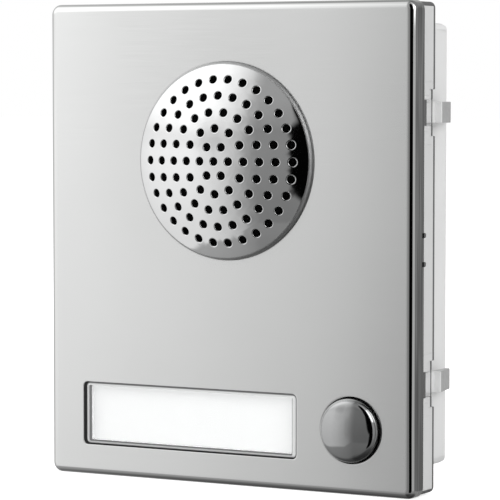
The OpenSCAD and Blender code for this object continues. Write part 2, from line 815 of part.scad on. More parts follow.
// Rooms above and below the body that the seal's lips fill
module lip_rooms(y0, y1) {
    for (sz = [-1, 1]) translate([-housing_w, y0, (sz * (housing_h + seal_h) - seal_h) / 2])
        cube([2 * housing_w, y1 - y0, seal_h]);
}

module rear_cover() {
    notch_w = terminal_w + 2 * terminal_room;
    notch_top = terminal_z + terminal_d + terminal_room;
    color("whitesmoke") difference() {
        union() {
            difference() {
                pan(cover_w, cover_h, housing_rear_y, cover_rear_y, cover_corner_r, cover_edge_r);
                pan(cover_w - 2 * cover_t, cover_h - 2 * cover_t, housing_rear_y - past, cover_floor_y,
                    cover_corner_r - cover_t, cover_edge_r - cover_t);
            }
            four(screw_x, screw_z, screw_low_z) rod(boss_d, board_rear_y, cover_floor_y + past);
            terminal_well(notch_w + 2 * cover_t, notch_top + cover_t);
        }
        terminal_well(notch_w, notch_top);
        translate([-notch_w / 2, well_front_y, -cover_h]) cube([notch_w, cover_d, cover_h + notch_top]);
        four(screw_x, screw_z, screw_low_z) {
            rod(screw_d + 2 * screw_gap, board_rear_y - past, cover_rear_y + past);
            rod(head_d + 2 * drop_gap, head_seat_y, cover_rear_y + past);
        }
        trimmer_places() rod(access_d, cover_floor_y - past, cover_rear_y + past);
    }
}

// Well of the cover round the terminal block, open to the rear and below
module terminal_well(w, top) {
    bottom = -cover_h / 2 + cover_corner_r;
    translate([-w / 2, well_front_y, bottom]) cube([w, cover_floor_y - board_rear_y, top - bottom]);
}

module cover_screws() {
    color("silver") four(screw_x, screw_z, screw_low_z)
        screw(screw_d, screw_l, head_d, head_h, head_seat_y);
}

// Latch of the right side: tongue with a hook, turning on a pivot at its root
module latch() {
    ridge = 0.5;
    color("lightgray") {
        translate([0, 0, -latch_h / 2]) linear_extrude(latch_h) {
            translate([pivot_x, pivot_y]) circle(root_r);
            polygon([
                [tongue_x - latch_t, pivot_y],
                [tongue_x, pivot_y],
                [tongue_x, hook_gap],
                [tongue_x + hook_h, hook_gap],
                [tongue_x + hook_h, hook_gap + ridge],
                [tongue_x, latch_reach],
                [tongue_x - latch_t, latch_reach]
            ]);
        }
        pivot_l = slot_h + 2 * ear_t;
        translate([pivot_x, pivot_y, -pivot_l / 2]) cylinder(d = pivot_d, h = pivot_l);
    }
}

module latch_right_upper() {
    translate([0, 0, latch_z]) latch();
}

module latch_right_lower() {
    translate([0, 0, -latch_z]) latch();
}

module latch_left_upper() {
    mirror([1, 0, 0]) translate([0, 0, latch_z]) latch();
}

module latch_left_lower() {
    mirror([1, 0, 0]) translate([0, 0, -latch_z]) latch();
}

module speaker_gasket() {
    color("black") at(0, speaker_z) difference() {
        rod(speaker_d, panel_rear_y, rim_front_y);
        rod(speaker_d - 2 * rim_w, panel_rear_y - past, rim_front_y + past);
    }
}

module speaker_basket() {
    slope_r = speaker_r - rim_w + basket_t + drop_gap;
    rear = -basket_t - basket_d;
    bore_r = gap_r + past;
    windows = 4;
    window_top = 1.5;
    window_d = basket_d - window_top - 1;
    color("slategray") at(0, speaker_z) difference() {
        turned(rim_front_y) polygon([
            [speaker_r - rim_w, 0],
            [speaker_r, 0],
            [speaker_r, -basket_t],
            [slope_r, -basket_t],
            [basket_r, rear],
            [basket_r, rear - basket_t],
            [bore_r, rear - basket_t],
            [bore_r, rear],
            [basket_r - basket_t, rear],
            [slope_r - basket_t, -basket_t],
            [speaker_r - rim_w, -basket_t]
        ]);
        for (k = [0 : windows - 1]) rotate([0, 45 + k * 360 / windows, 0])
            translate([gap_r, rim_rear_y + window_top, -slope_r / 3])
                cube([slope_r, window_d, 2 * slope_r / 3]);
    }
}

module speaker_surround() {
    roll_r = surround_w / 2 + film_t;
    color("black") at(0, speaker_z) turned(rim_rear_y) difference() {
        translate([cone_r + roll_r, 0]) intersection() {
            circle(roll_r);
            translate([-roll_r, -film_t]) square([2 * roll_r, roll_r + film_t]);
        }
        translate([cone_r + roll_r, -film_t]) circle(roll_r - film_t);
        translate([speaker_r - rim_w, -roll_r]) square([rim_w, roll_r + basket_t]);
    }
}

module speaker_cone() {
    inner_r = coil_d / 2 - film_t;
    color("darkkhaki") at(0, speaker_z) turned(rim_rear_y) polygon([
        [cone_edge_r, cone_front],
        [cone_edge_r, cone_front - film_t],
        [inner_r, cone_front - cone_depth - film_t],
        [inner_r, cone_front - cone_depth],
        [cone_edge_r - film_t, cone_front]
    ]);
}

module dust_cap() {
    glue_w = 1;
    cap_r = coil_d / 2 + glue_w;
    inner_r = coil_d / 2 - film_t;
    base = cone_front - cone_depth;
    color("darkkhaki") at(0, speaker_z) turned(rim_rear_y) difference() {
        translate([0, base]) intersection() {
            circle(cap_r);
            square(cap_r);
        }
        translate([0, base]) circle(cap_r - film_t);
        polygon([
            [inner_r, base - past],
            [inner_r, base],
            [cone_edge_r - film_t, cone_front],
            [cone_r, base - past]
        ]);
    }
}

module voice_coil() {
    front_y = rim_rear_y - cone_front + cone_depth + film_t;
    rear_y = (magnet_y + yoke_y) / 2;
    color("peru") at(0, speaker_z) difference() {
        rod(coil_d, front_y, rear_y);
        rod(coil_d - 2 * film_t, front_y - past, rear_y + past);
    }
}

module speaker_top_plate() {
    color("darkgray") at(0, speaker_z) difference() {
        rod(magnet_d - pole_plate_t, top_plate_y, magnet_y);
        rod(2 * gap_r, top_plate_y - past, magnet_y + past);
    }
}

module speaker_magnet() {
    color("dimgray") at(0, speaker_z) difference() {
        rod(magnet_d, magnet_y, yoke_y);
        rod(2 * (gap_r + past), magnet_y - past, yoke_y + past);
    }
}

module speaker_yoke() {
    color("darkgray") at(0, speaker_z) {
        rod(magnet_d - pole_plate_t, yoke_y, yoke_y + pole_plate_t);
        rod(2 * pole_r, top_plate_y, yoke_y + pole_plate_t);
    }
}

// Places of the loudspeaker's clamps, each turned so that +X points away from its centre
module clamp_places() {
    at(0, speaker_z) for (k = [0 : 2]) rotate([0, -90 - 120 * k, 0]) at(clamp_r, 0) children();
}

module speaker_clamps() {
    clamp_w = 6;
    reach = clamp_r - speaker_r + rim_w / 2;
    color("lightsteelblue") clamp_places() difference() {
        translate([-reach, rim_rear_y, -clamp_w / 2]) cube([reach + clamp_boss_r, clamp_t, clamp_w]);
        rod(clamp_screw_d + 2 * screw_gap, rim_rear_y - past, rim_rear_y + clamp_t + past);
    }
}

module clamp_screws() {
    shank_l = clamp_t + rim_rear_y - panel_rear_y;
    color("silver") clamp_places()
        screw(clamp_screw_d, shank_l, clamp_head_d, clamp_head_h, rim_rear_y + clamp_t);
}

module speaker_leads() {
    spread = 6;
    color("crimson") at(0, speaker_z) for (a = [-spread, spread]) rotate([0, a, 0]) at(lead_r, 0)
        rod(lead_d, rim_rear_y, board_front_y);
}

module microphone() {
    color("silver") at(0, mic_z) rod(mic_d, panel_rear_y + boot_t, panel_rear_y + boot_t + mic_h);
}

module microphone_boot() {
    color("black") at(0, mic_z) difference() {
        rod(2 * boot_r, panel_rear_y, panel_rear_y + boot_h);
        rod(mic_d, panel_rear_y + boot_t, panel_rear_y + boot_h + past);
        rod(mic_d / 2, panel_rear_y - past, panel_rear_y + boot_t + past);
    }
}

module microphone_leads() {
    pin_d = 0.6;
    pin_pitch = 2.54;
    color("gold") at(0, mic_z) for (s = [-1, 1]) at(s * pin_pitch / 2, 0)
        rod(pin_d, panel_rear_y + boot_t + mic_h, board_front_y);
}

module main_board() {
    corner_r = 1;
    magnet_room = 1;
    color("darkgreen") difference() {
        slab(board_w, board_h, board_front_y, board_rear_y, corner_r);
        at(0, speaker_z) rod(magnet_d + 2 * magnet_room, board_front_y - past, board_rear_y + past);
        four(screw_x, screw_z, screw_low_z)
            rod(screw_d + 2 * screw_gap, board_front_y - past, board_rear_y + past);
    }
}

module amplifier_chips() {
    chip_w = 9.6;
    chip_t = 3.2;
    chip_h = 6.4;
    stand = 0.5;
    leg_w = 0.5;
    leg_l = 1.8;
    leg_t = 0.4;
    leg_pitch = 2.54;
    color("black") for (p = chip_places) translate([p.x, board_rear_y, p.y]) {
        translate([-chip_w / 2, stand, -chip_h / 2]) cube([chip_w, chip_t, chip_h]);
        for (k = [-1.5 : 1.5], s = [-1, 1])
            translate([k * leg_pitch - leg_w / 2, 0, s * (chip_h + leg_t) / 2 - leg_t / 2])
                cube([leg_w, leg_l, leg_t]);
    }
}

module capacitors() {
    crimp_up = 1.4;
    crimp_r = 0.6;
    crimp_d = 0.4;
    color("navy") for (p = capacitor_places) at(p.x, p.y) difference() {
        rod(capacitor_d, board_rear_y, board_rear_y + capacitor_h);
        translate([0, board_rear_y + crimp_up, 0]) rotate([-90, 0, 0]) rotate_extrude()
            translate([capacitor_d / 2 + crimp_r - crimp_d, 0]) circle(crimp_r);
    }
}

module resistors() {
    body_d = 2.2;
    body_l = 6;
    wire = 0.6;
    color("tan") for (p = resistor_places) translate([p.x, board_rear_y + body_d / 2, p.y]) {
        translate([-body_l / 2, 0, 0]) rotate([0, 90, 0]) cylinder(d = body_d, h = body_l);
        for (s = [-1, 1]) translate([s * (body_l / 2 + wire / 2) - wire / 2, -body_d / 2, -wire / 2])
            cube([wire, body_d / 2 + wire / 2, wire]);
    }
}

// Places of the two presets
module trimmer_places() {
    for (s = [-1, 1]) at(trimmer_x + s * trimmer_pitch / 2, trimmer_z) children();
}

module trimmer_bodies() {
    color("royalblue") trimmer_places() difference() {
        translate([-trimmer_w / 2, board_rear_y, -trimmer_w / 2]) cube([trimmer_w, trimmer_h, trimmer_w]);
        rod(rotor_d + 2 * screw_gap, rotor_well_y, board_rear_y + trimmer_h + past);
        rod(hub_d + 2 * stem_gap, board_rear_y + hub_floor, rotor_well_y + past);
    }
}

// Rotor of a preset, with a hub in the body and a slot for a screwdriver
module rotor() {
    slot_w = 0.8;
    slot_d = 0.8;
    rear_y = board_rear_y + trimmer_h + drop_gap;
    color("white") difference() {
        union() {
            rod(rotor_d, rotor_well_y + slide_gap, rear_y);
            rod(hub_d, board_rear_y + hub_floor + drop_gap, rotor_well_y + past);
        }
        translate([-slot_w / 2, rear_y - slot_d, -rotor_d]) cube([slot_w, slot_d + past, 2 * rotor_d]);
    }
}

module volume_rotor() {
    at(trimmer_x - trimmer_pitch / 2, trimmer_z) rotor();
}

module microphone_rotor() {
    at(trimmer_x + trimmer_pitch / 2, trimmer_z) rotor();
}

// Places of the wire terminals along the block
module terminal_places() {
    for (k = [0 : terminal_ways - 1])
        at((k - (terminal_ways - 1) / 2) * terminal_pitch, terminal_z) children();
}

module terminal_block() {
    entry_w = 3.2;
    entry_up = 1.6;
    back_wall = 2;
    well_r = terminal_pitch / 2 - terminal_wall;
    color("seagreen") difference() {
        translate([-terminal_w / 2, board_rear_y, terminal_z]) cube([terminal_w, terminal_h, terminal_d]);
        terminal_places() {
            translate([-entry_w / 2, board_rear_y + entry_up, -past])
                cube([entry_w, entry_w, past + terminal_d - back_wall]);
            at(0, terminal_d / 2) rod(2 * well_r, terminal_rear_y - terminal_well_d, terminal_rear_y + past);
        }
    }
}

module terminal_screws() {
    head_r = terminal_pitch / 2 - terminal_wall - drop_gap;
    slot_w = 0.8;
    slot_d = 0.8;
    seat_y = terminal_rear_y - terminal_well_d;
    rear_y = seat_y + 2 * terminal_well_d / 3;
    color("silver") terminal_places() at(0, terminal_d / 2) difference() {
        rod(2 * head_r, seat_y, rear_y);
        translate([-head_r - past, rear_y - slot_d, -slot_w / 2])
            cube([2 * (head_r + past), slot_d + past, slot_w]);
    }
}

front_plate();
plate_studs();
plate_nuts();
speaker_grille();
grille_cloth();
name_lens();
name_card();
card_light_box();
card_leds();
push_button();
button_clip();
button_guide();
button_spring();
call_switch();
switch_plunger();
mid_housing();
seat_gasket();
rear_cover();
cover_screws();
latch_right_upper();
latch_right_lower();
latch_left_upper();
latch_left_lower();
speaker_gasket();
speaker_basket();
speaker_surround();
speaker_cone();
dust_cap();
voice_coil();
speaker_top_plate();
speaker_magnet();
speaker_yoke();
speaker_clamps();
clamp_screws();
speaker_leads();
microphone();
microphone_boot();
microphone_leads();
main_board();
amplifier_chips();
capacitors();
resistors();
trimmer_bodies();
volume_rotor();
microphone_rotor();
terminal_block();
terminal_screws();
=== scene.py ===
# %% [markdown]
# # Dressing a door intercom module
# The solids of a call module come from CAD: a pressed steel front with a domed loudspeaker grille, a name window and
# a round call button, on a moulded body that snaps into a wall frame. This lesson loads those solids as a fixed
# frame, models the pieces that catch the eye again with finer edges, and gives every other piece a finish of its own.

# %% Load the frame
from math import asin, cos, hypot, pi, radians, sin, sqrt

import bmesh
import bpy
from mathutils import Matrix, Vector


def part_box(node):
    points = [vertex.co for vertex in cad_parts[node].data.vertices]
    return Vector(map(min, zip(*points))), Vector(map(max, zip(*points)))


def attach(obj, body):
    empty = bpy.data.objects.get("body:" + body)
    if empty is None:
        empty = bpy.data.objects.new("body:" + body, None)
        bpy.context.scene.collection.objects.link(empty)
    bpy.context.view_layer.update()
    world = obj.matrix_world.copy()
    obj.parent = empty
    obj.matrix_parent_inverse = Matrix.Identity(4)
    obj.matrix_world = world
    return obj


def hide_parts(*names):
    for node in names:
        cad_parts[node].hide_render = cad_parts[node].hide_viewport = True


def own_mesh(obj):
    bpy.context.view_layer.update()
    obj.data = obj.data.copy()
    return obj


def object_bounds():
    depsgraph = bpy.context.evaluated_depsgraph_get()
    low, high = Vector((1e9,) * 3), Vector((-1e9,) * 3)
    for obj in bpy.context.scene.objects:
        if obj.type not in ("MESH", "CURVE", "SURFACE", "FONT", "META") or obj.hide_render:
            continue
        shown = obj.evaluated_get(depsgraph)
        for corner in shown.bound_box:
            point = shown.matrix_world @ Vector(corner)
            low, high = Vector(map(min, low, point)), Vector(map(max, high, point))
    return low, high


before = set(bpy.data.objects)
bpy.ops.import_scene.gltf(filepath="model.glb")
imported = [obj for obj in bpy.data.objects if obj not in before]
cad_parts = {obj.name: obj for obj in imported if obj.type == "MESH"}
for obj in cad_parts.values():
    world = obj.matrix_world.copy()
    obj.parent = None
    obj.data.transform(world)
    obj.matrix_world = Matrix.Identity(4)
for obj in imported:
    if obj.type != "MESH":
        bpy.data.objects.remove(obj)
cad_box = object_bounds()
scene = bpy.context.scene

# %% [markdown]
# ## Camera
# A product picture of a flat thing is taken from far away with a long lens, so that the upright edges stay parallel.
# The camera stands in front of the module and to its right, a little above its middle. Its place and its lens are
# worked out from the picture's own straight edges, so the model needs no fitting by eye.

# %% Camera
camera_place = Vector((0.33919, -0.5997, 0.03922))
camera_aim = Vector((-0.4917, 0.8688, -0.0595))
lens_mm = 202.46
sensor_mm = 36

camera_data = bpy.data.cameras.new("studio_camera")
camera_data.lens = lens_mm
camera_data.sensor_width = sensor_mm
camera_data.clip_start = 0.01
camera_data.clip_end = 50
camera = bpy.data.objects.new("studio_camera", camera_data)
camera.location = camera_place
camera.rotation_euler = camera_aim.to_track_quat("-Z", "Y").to_euler()
scene.collection.objects.link(camera)
scene.camera = camera
scene.view_settings.view_transform = "Standard"
print("camera distance to the middle: %.3f m" % camera_place.length)

# %% [markdown]
# ## A small kit for node trees
# Materials are easier to read when a node can be added, set and wired in one line. The first helper makes a node,
# sets the plain values on its inputs, and links an input when it is given another node's output. The two nodes that
# are needed most, a sum and a change of range, get a helper that gives back the output itself.

# %% Node helpers
def add_node(tree, kind, inputs=None, **settings):
    """One node of a tree: settings are its properties, inputs are values or sockets to link."""
    node = tree.nodes.new(kind)
    for key, value in settings.items():
        setattr(node, key, value)
    for key, value in (inputs or {}).items():
        if isinstance(value, bpy.types.NodeSocket):
            tree.links.new(value, node.inputs[key])
        else:
            node.inputs[key].default_value = value
    return node


def combine(tree, operation, *values):
    """The output of a Math node on up to three values or sockets."""
    return add_node(tree, "ShaderNodeMath", dict(enumerate(values)), operation=operation).outputs[0]


def map_range(tree, value, given=(0.0, 1.0), wanted=(0.0, 1.0)):
    """The output of a Map Range node: what runs between the given limits runs between the wanted ones."""
    limits = {"From Min": given[0], "From Max": given[1], "To Min": wanted[0], "To Max": wanted[1]}
    return add_node(tree, "ShaderNodeMapRange", {"Value": value, **limits}).outputs[0]


def empty_tree(owner):
    """The cleared node tree of a material or of the world."""
    owner.use_nodes = True
    owner.node_tree.nodes.clear()
    return owner.node_tree


def new_material(name):
    """A material with an empty node tree."""
    material = bpy.data.materials.new(name)
    return material, empty_tree(material)


print("node helpers ready")

# %% [markdown]
# ## Floor and white background
# The module stands on a plain pale floor that runs on into a white background. The floor is a matt white surface that
# keeps the soft shadow. It has a little glow that only the camera sees, straight or through glass, so that it meets
# the white of the background. The world is white for the camera, for gloss and for glass, and a softer grey for the
# light that it sheds.

# %% Floor
def object_from(bm, name):
    """An object with a bmesh's shape, linked to the scene at the origin."""
    mesh = bpy.data.meshes.new(name)
    bm.to_mesh(mesh)
    bm.free()
    made = bpy.data.objects.new(name, mesh)
    scene.collection.objects.link(made)
    return made


white = (1, 1, 1, 1)
ground = cad_box[0].z
floor_half = 6.0
paper_tone = (0.86, 0.86, 0.86, 1)
paper_glow = 0.66

sheet = bmesh.new()
bmesh.ops.create_grid(sheet, x_segments=1, y_segments=1, size=floor_half)
bmesh.ops.translate(sheet, vec=(0, 0, ground), verts=sheet.verts)
floor = object_from(sheet, "floor")
floor.visible_glossy = False

paper, tree = new_material("floor_paper")
path = add_node(tree, "ShaderNodeLightPath").outputs
seen = combine(tree, "MAXIMUM", path["Is Camera Ray"], path["Is Transmission Ray"])
matt = add_node(tree, "ShaderNodeBsdfDiffuse", {"Color": paper_tone})
glow = add_node(tree, "ShaderNodeEmission",
                {"Color": white, "Strength": combine(tree, "MULTIPLY", seen, paper_glow)})
both = add_node(tree, "ShaderNodeAddShader", {0: matt.outputs[0], 1: glow.outputs[0]})
add_node(tree, "ShaderNodeOutputMaterial", {"Surface": both.outputs[0]})
floor.data.materials.append(paper)
print("floor at %.1f mm" % (ground * 1000))

# %% World
shed_light = 0.42
world = bpy.data.worlds.new("studio")
scene.world = world
tree = empty_tree(world)
path = add_node(tree, "ShaderNodeLightPath").outputs
seen = combine(tree, "MAXIMUM", path["Is Camera Ray"], path["Is Glossy Ray"])
seen = combine(tree, "MAXIMUM", seen, path["Is Transmission Ray"])
level = map_range(tree, seen, wanted=(shed_light, 1.0))
sky = add_node(tree, "ShaderNodeBackground", {"Color": white, "Strength": level})
add_node(tree, "ShaderNodeOutputWorld", {"Surface": sky.outputs[0]})
print("world sheds", shed_light, "of the white that it shows")

# %% [markdown]
# ## What the steel reflects
# Polished steel has no colour of its own to speak of: it shows the studio. In a studio for small metal goods, white
# cloths, grey walls and black flags stand close round the table, and the metal is drawn by their reflections. Here
# they are one sphere round the set that only gloss can see. Its brightness follows the direction round the module,
# white on the left, falling to grey straight ahead, and its height, with a dull table below. It stands near, so that
# even the flat front runs from bright to grey across its width. The table's far edge climbs a little to the right.

# %% Reflection surround
surround_r = 0.30
sphere = bmesh.new()
bmesh.ops.create_uvsphere(sphere, u_segments=96, v_segments=48, radius=surround_r)
bmesh.ops.reverse_faces(sphere, faces=sphere.faces)
surround = object_from(sphere, "reflection_surround")
for ray in ("camera", "diffuse", "transmission", "volume_scatter", "shadow"):
    setattr(surround, "visible_" + ray, False)

# Degrees to the right of straight ahead, and the brightness of the walls there
wall_stops = [(-180, 0.30), (-110, 0.40), (-85, 0.70), (-77, 0.88), (-70, 0.97), (-61, 1.0), (-45, 1.0),
              (-41, 0.975), (-36.5, 0.92), (-32, 0.86), (-28, 0.79), (-23.4, 0.70), (-18.9, 0.61), (-14.7, 0.52),
              (-12.5, 0.42), (-10.4, 0.34), (-6, 0.265), (9, 0.25), (45, 0.30), (57, 0.50), (78, 0.50), (88, 0.20),
              (120, 0.17), (165, 0.17), (180, 0.30)]
# Height as a share of the sphere's, from -1 to 1: how bright the walls are there, and what the table adds
height_stops = [(-1.0, 0.05), (-0.60, 0.15), (-0.55, 0.16), (-0.53, 0.68), (-0.41, 0.70), (-0.21, 0.78), (0.0, 0.86),
                (0.10, 0.89), (0.21, 0.83), (0.32, 1.06), (0.45, 1.20), (0.78, 1.22), (0.88, 0.9), (1.0, 0.5)]
table_stops = [(-1.0, 0.02), (-0.85, 0.05), (-0.75, 0.15), (-0.60, 0.17), (-0.55, 0.17), (-0.53, 0.0), (1.0, 0.0)]
# Between these two directions, in degrees, the table's far edge climbs by a share of the sphere's height
table_corner = (-22.0, -11.0)
table_climb = 0.08
wall_level = 1.18
print("surround with", len(wall_stops), "stops round and", len(height_stops), "up")


# %% Walls and table
def object_place(tree):
    """A point's place in the coordinates of its own object."""
    return add_node(tree, "ShaderNodeTexCoord").outputs["Object"]


def level_by(value, stops):
    """A grey level that follows stops, each a value and its level."""
    low, high = stops[0][0], stops[-1][0]
    ramp = add_node(tree, "ShaderNodeValToRGB", {"Fac": map_range(tree, value, (low, high))})
    elements = ramp.color_ramp.elements
    while len(elements) < len(stops):
        elements.new(1.0)
    for element, (stop, grey) in zip(elements, stops):
        element.position = (stop - low) / (high - low)
        element.color = (grey, grey, grey, 1.0)
    return ramp.outputs[0]


cloths, tree = new_material("studio_walls")
axes = add_node(tree, "ShaderNodeSeparateXYZ", {0: object_place(tree)}).outputs
turn = combine(tree, "ARCTAN2", axes["X"], combine(tree, "MULTIPLY", axes["Y"], -1.0))
turn_degrees = combine(tree, "MULTIPLY", turn, 180 / pi)
height = combine(tree, "DIVIDE", axes["Z"], surround_r)
climb = map_range(tree, turn_degrees, table_corner, (0.0, table_climb))
over_table = combine(tree, "SUBTRACT", height, climb)
walls = combine(tree, "MULTIPLY", level_by(turn_degrees, wall_stops), level_by(over_table, height_stops))
lit = combine(tree, "ADD", walls, level_by(over_table, table_stops))
print("nodes of the walls:", len(tree.nodes))

# %% [markdown]
# Panels stand in front of the walls. Black flags ahead on the right give the dark edges that make polished metal look
# hard. Grey cloths with soft borders cloud the even run of the flat front. A bright window to the right of the flags
# draws the white streak on the button's rim.

# %% Flags, grey cloths and the bright window
hard_border = 0.4
black = 0.996
# Middle and half size of each panel in degrees and height, how soft its border is, and the share of light it takes
panels = [((32.25, 0.06), (21.25, 0.37), hard_border, black),
          ((32.0, 0.60), (20.0, 0.26), hard_border, black),
          ((35.5, -0.44), (18.5, 0.22), hard_border, black),
          ((-31.5, 0.24), (7.5, 0.12), 1.8, 0.13),
          ((-31.5, 0.13), (5.5, 0.17), 1.6, 0.06),
          ((-16.3, -0.18), (3.8, 0.21), 1.6, 0.10)]
window_middle = (72.0, 0.48)
window_half = (14.0, 0.28)
window_level = 1.6


def soft_panel(middle, half, softness):
    """A mask that is 1 inside a panel with round corners and 0 outside."""
    fourth_powers = []
    for value, centre, reach in zip((turn_degrees, height), middle, half):
        share = combine(tree, "DIVIDE", combine(tree, "SUBTRACT", value, centre), reach)
        square = combine(tree, "MULTIPLY", share, share)
        fourth_powers.append(combine(tree, "MULTIPLY", square, square))
    border = (1 - softness / 2, 1 + softness / 2)
    return map_range(tree, combine(tree, "ADD", *fourth_powers), border, (1.0, 0.0))


for middle, half, softness, taken in panels:
    dimming = combine(tree, "MULTIPLY", soft_panel(middle, half, softness), taken)
    lit = combine(tree, "MULTIPLY", lit, combine(tree, "SUBTRACT", 1.0, dimming))
bright = combine(tree, "MULTIPLY", soft_panel(window_middle, window_half, hard_border), window_level)
lit = combine(tree, "ADD", lit, bright)
shine = add_node(tree, "ShaderNodeEmission", {"Color": lit, "Strength": wall_level})
add_node(tree, "ShaderNodeOutputMaterial", {"Surface": shine.outputs[0]})
surround.data.materials.append(cloths)
print("panels in the surround:", len(panels) + 1)

# %% [markdown]
# ## Lamps
# Three large area lamps give plain soft light: a key from the front left, a fill from the right that keeps the pale
# side of the body readable, and one from above and behind. They are kept out of the reflections, because the surround
# already draws the metal.

# %% Lamps
def soft_lamp(name, place, size, watts):
    """A square area lamp that looks at the module's middle."""
    data = bpy.data.lights.new(name, "AREA")
    data.shape = "SQUARE"
    data.size = size
    data.energy = watts
    lamp = bpy.data.objects.new(name, data)
    lamp.location = place
    lamp.rotation_euler = (-Vector(place)).to_track_quat("-Z", "Y").to_euler()
    lamp.visible_camera = False
    lamp.visible_glossy = False
    scene.collection.objects.link(lamp)


soft_lamp("key_lamp", (-0.9, -1.3, 0.9), 1.0, 12.0)
soft_lamp("fill_lamp", (1.3, -1.3, 0.5), 0.7, 17.0)
soft_lamp("top_lamp", (0.5, 0.5, 1.6), 1.2, 10.0)
print("lamps:", len(bpy.data.lights))

# %% [markdown]
# ## Finishes that several materials share
# Moulded plastic is never one flat colour: the mould is spark eroded to a fine grain and the melt leaves faint
# clouds. Rolled or brushed steel has fine parallel lines. Both effects are needed on many pieces, so each is a node
# group with its own inputs, built once and placed in every material that needs it.

# %% Moulded grain group
def new_group(name, inputs):
    """A shader node group with named inputs, and outputs for colour, roughness and height."""
    group = bpy.data.node_groups.new(name, "ShaderNodeTree")
    for label, kind, value in inputs:
        socket = group.interface.new_socket(label, in_out="INPUT", socket_type="NodeSocket" + kind)
        socket.default_value = value
    for label, kind in (("Colour", "Color"), ("Roughness", "Float"), ("Height", "Float")):
        group.interface.new_socket(label, in_out="OUTPUT", socket_type="NodeSocket" + kind)
    return group, add_node(group, "NodeGroupInput").outputs


def noise(tree, place, scale, detail, roughness=0.5):
    """The grey level of a noise texture."""
    settings = {"Vector": place, "Scale": scale, "Detail": detail, "Roughness": roughness}
    return add_node(tree, "ShaderNodeTexNoise", settings).outputs["Fac"]


def toned(tree, colour, tone):
    """A colour made darker or lighter by a tone."""
    return add_node(tree, "ShaderNodeVectorMath", {0: colour, "Scale": tone}, operation="SCALE").outputs[0]


moulded, given = new_group("moulded_grain", [("Colour", "Color", (0.5, 0.5, 0.5, 1)), ("Grain Scale", "Float", 3000.0),
                                             ("Cloud", "Float", 0.05), ("Roughness", "Float", 0.5)])
cloud_scale = 55.0
place = object_place(moulded)
grain = noise(moulded, place, given["Grain Scale"], 3.0, 0.6)
cloud = noise(moulded, place, cloud_scale, 4.0, 0.55)
swing = combine(moulded, "SUBTRACT", cloud, 0.5)
tone = combine(moulded, "MULTIPLY_ADD", swing, given["Cloud"], 1.0)
gloss = combine(moulded, "ADD", given["Roughness"], map_range(moulded, grain, wanted=(-0.06, 0.06)))
add_node(moulded, "NodeGroupOutput",
         {"Colour": toned(moulded, given["Colour"], tone), "Roughness": gloss, "Height": grain})
print("group:", moulded.name)

# %% [markdown]
# Brushed lines are noise that is stretched along one direction. The same lines bite into the roughness, the tone and
# the height, because on real steel they are one and the same scratch. Larger patches keep the sheet from being even.

# %% Brushed lines group
def stretched(tree, place, factors):
    """A place with each of its axes multiplied by a factor of its own."""
    return add_node(tree, "ShaderNodeVectorMath", {0: place, 1: factors}, operation="MULTIPLY").outputs[0]


brushed, given = new_group("brushed_lines", [("Colour", "Color", (0.8, 0.8, 0.8, 1)),
                                             ("Stretch", "Vector", (40.0, 900.0, 3500.0)),
                                             ("Roughness", "Float", 0.3), ("Depth", "Float", 0.1)])
patch_scale = 30.0
place = object_place(brushed)
lines = noise(brushed, stretched(brushed, place, given["Stretch"]), 1.0, 5.0, 0.65)
patches = noise(brushed, place, patch_scale, 3.0)
bite = map_range(brushed, lines, (0.25, 0.75), (-1.0, 1.0))
rough = combine(brushed, "MULTIPLY_ADD", bite, given["Depth"], given["Roughness"])
tone = combine(brushed, "MULTIPLY", map_range(brushed, patches, wanted=(0.97, 1.03)),
               map_range(brushed, lines, wanted=(0.96, 1.03)))
add_node(brushed, "NodeGroupOutput",
         {"Colour": toned(brushed, given["Colour"], tone), "Roughness": rough, "Height": lines})
print("group:", brushed.name)

# %% [markdown]
# ## Plastics and metals
# Each finish is a Principled shader with one of the two groups in front of it. What is the same all over, such as the
# metallic weight or the index of refraction, is set straight on the shader. The group brings what changes from place
# to place: tone, roughness and the height that a Bump node turns into grain.

# %% Material makers
mm = 0.001


def principled(tree, inputs):
    """A Principled shader with its inputs, wired to the output of the tree."""
    shader = add_node(tree, "ShaderNodeBsdfPrincipled", inputs)
    add_node(tree, "ShaderNodeOutputMaterial", {"Surface": shader.outputs[0]})


def grained(name, group, values, bump_strength, bump_mm, plain):
    """A material behind a group: plain names are other Principled inputs, with _ for a blank."""
    material, tree = new_material(name)
    grain = add_node(tree, "ShaderNodeGroup", values, node_tree=group).outputs
    relief = add_node(tree, "ShaderNodeBump", {"Height": grain["Height"], "Strength": bump_strength,
                                               "Distance": bump_mm * mm})
    inputs = {label.replace("_", " "): value for label, value in plain.items()}
    principled(tree, {"Base Color": grain["Colour"], "Roughness": grain["Roughness"],
                      "Normal": relief.outputs["Normal"], **inputs})
    return material


def plastic(name, colour, roughness, cloud=0.05, grain_scale=3000.0, bump_mm=0.01, **plain):
    """Moulded plastic, rubber, card or foam."""
    values = {"Colour": (*colour, 1), "Roughness": roughness, "Cloud": cloud, "Grain Scale": grain_scale}
    return grained(name, moulded, values, 0.6, bump_mm, plain)


def metal(name, colour, roughness, depth, stretch, bump_mm, **plain):
    """Bare or plated metal with fine lines along its length."""
    values = {"Colour": (*colour, 1), "Roughness": roughness, "Depth": depth, "Stretch": stretch}
    return grained(name, brushed, values, 0.5, bump_mm, {"Metallic": 1.0, **plain})


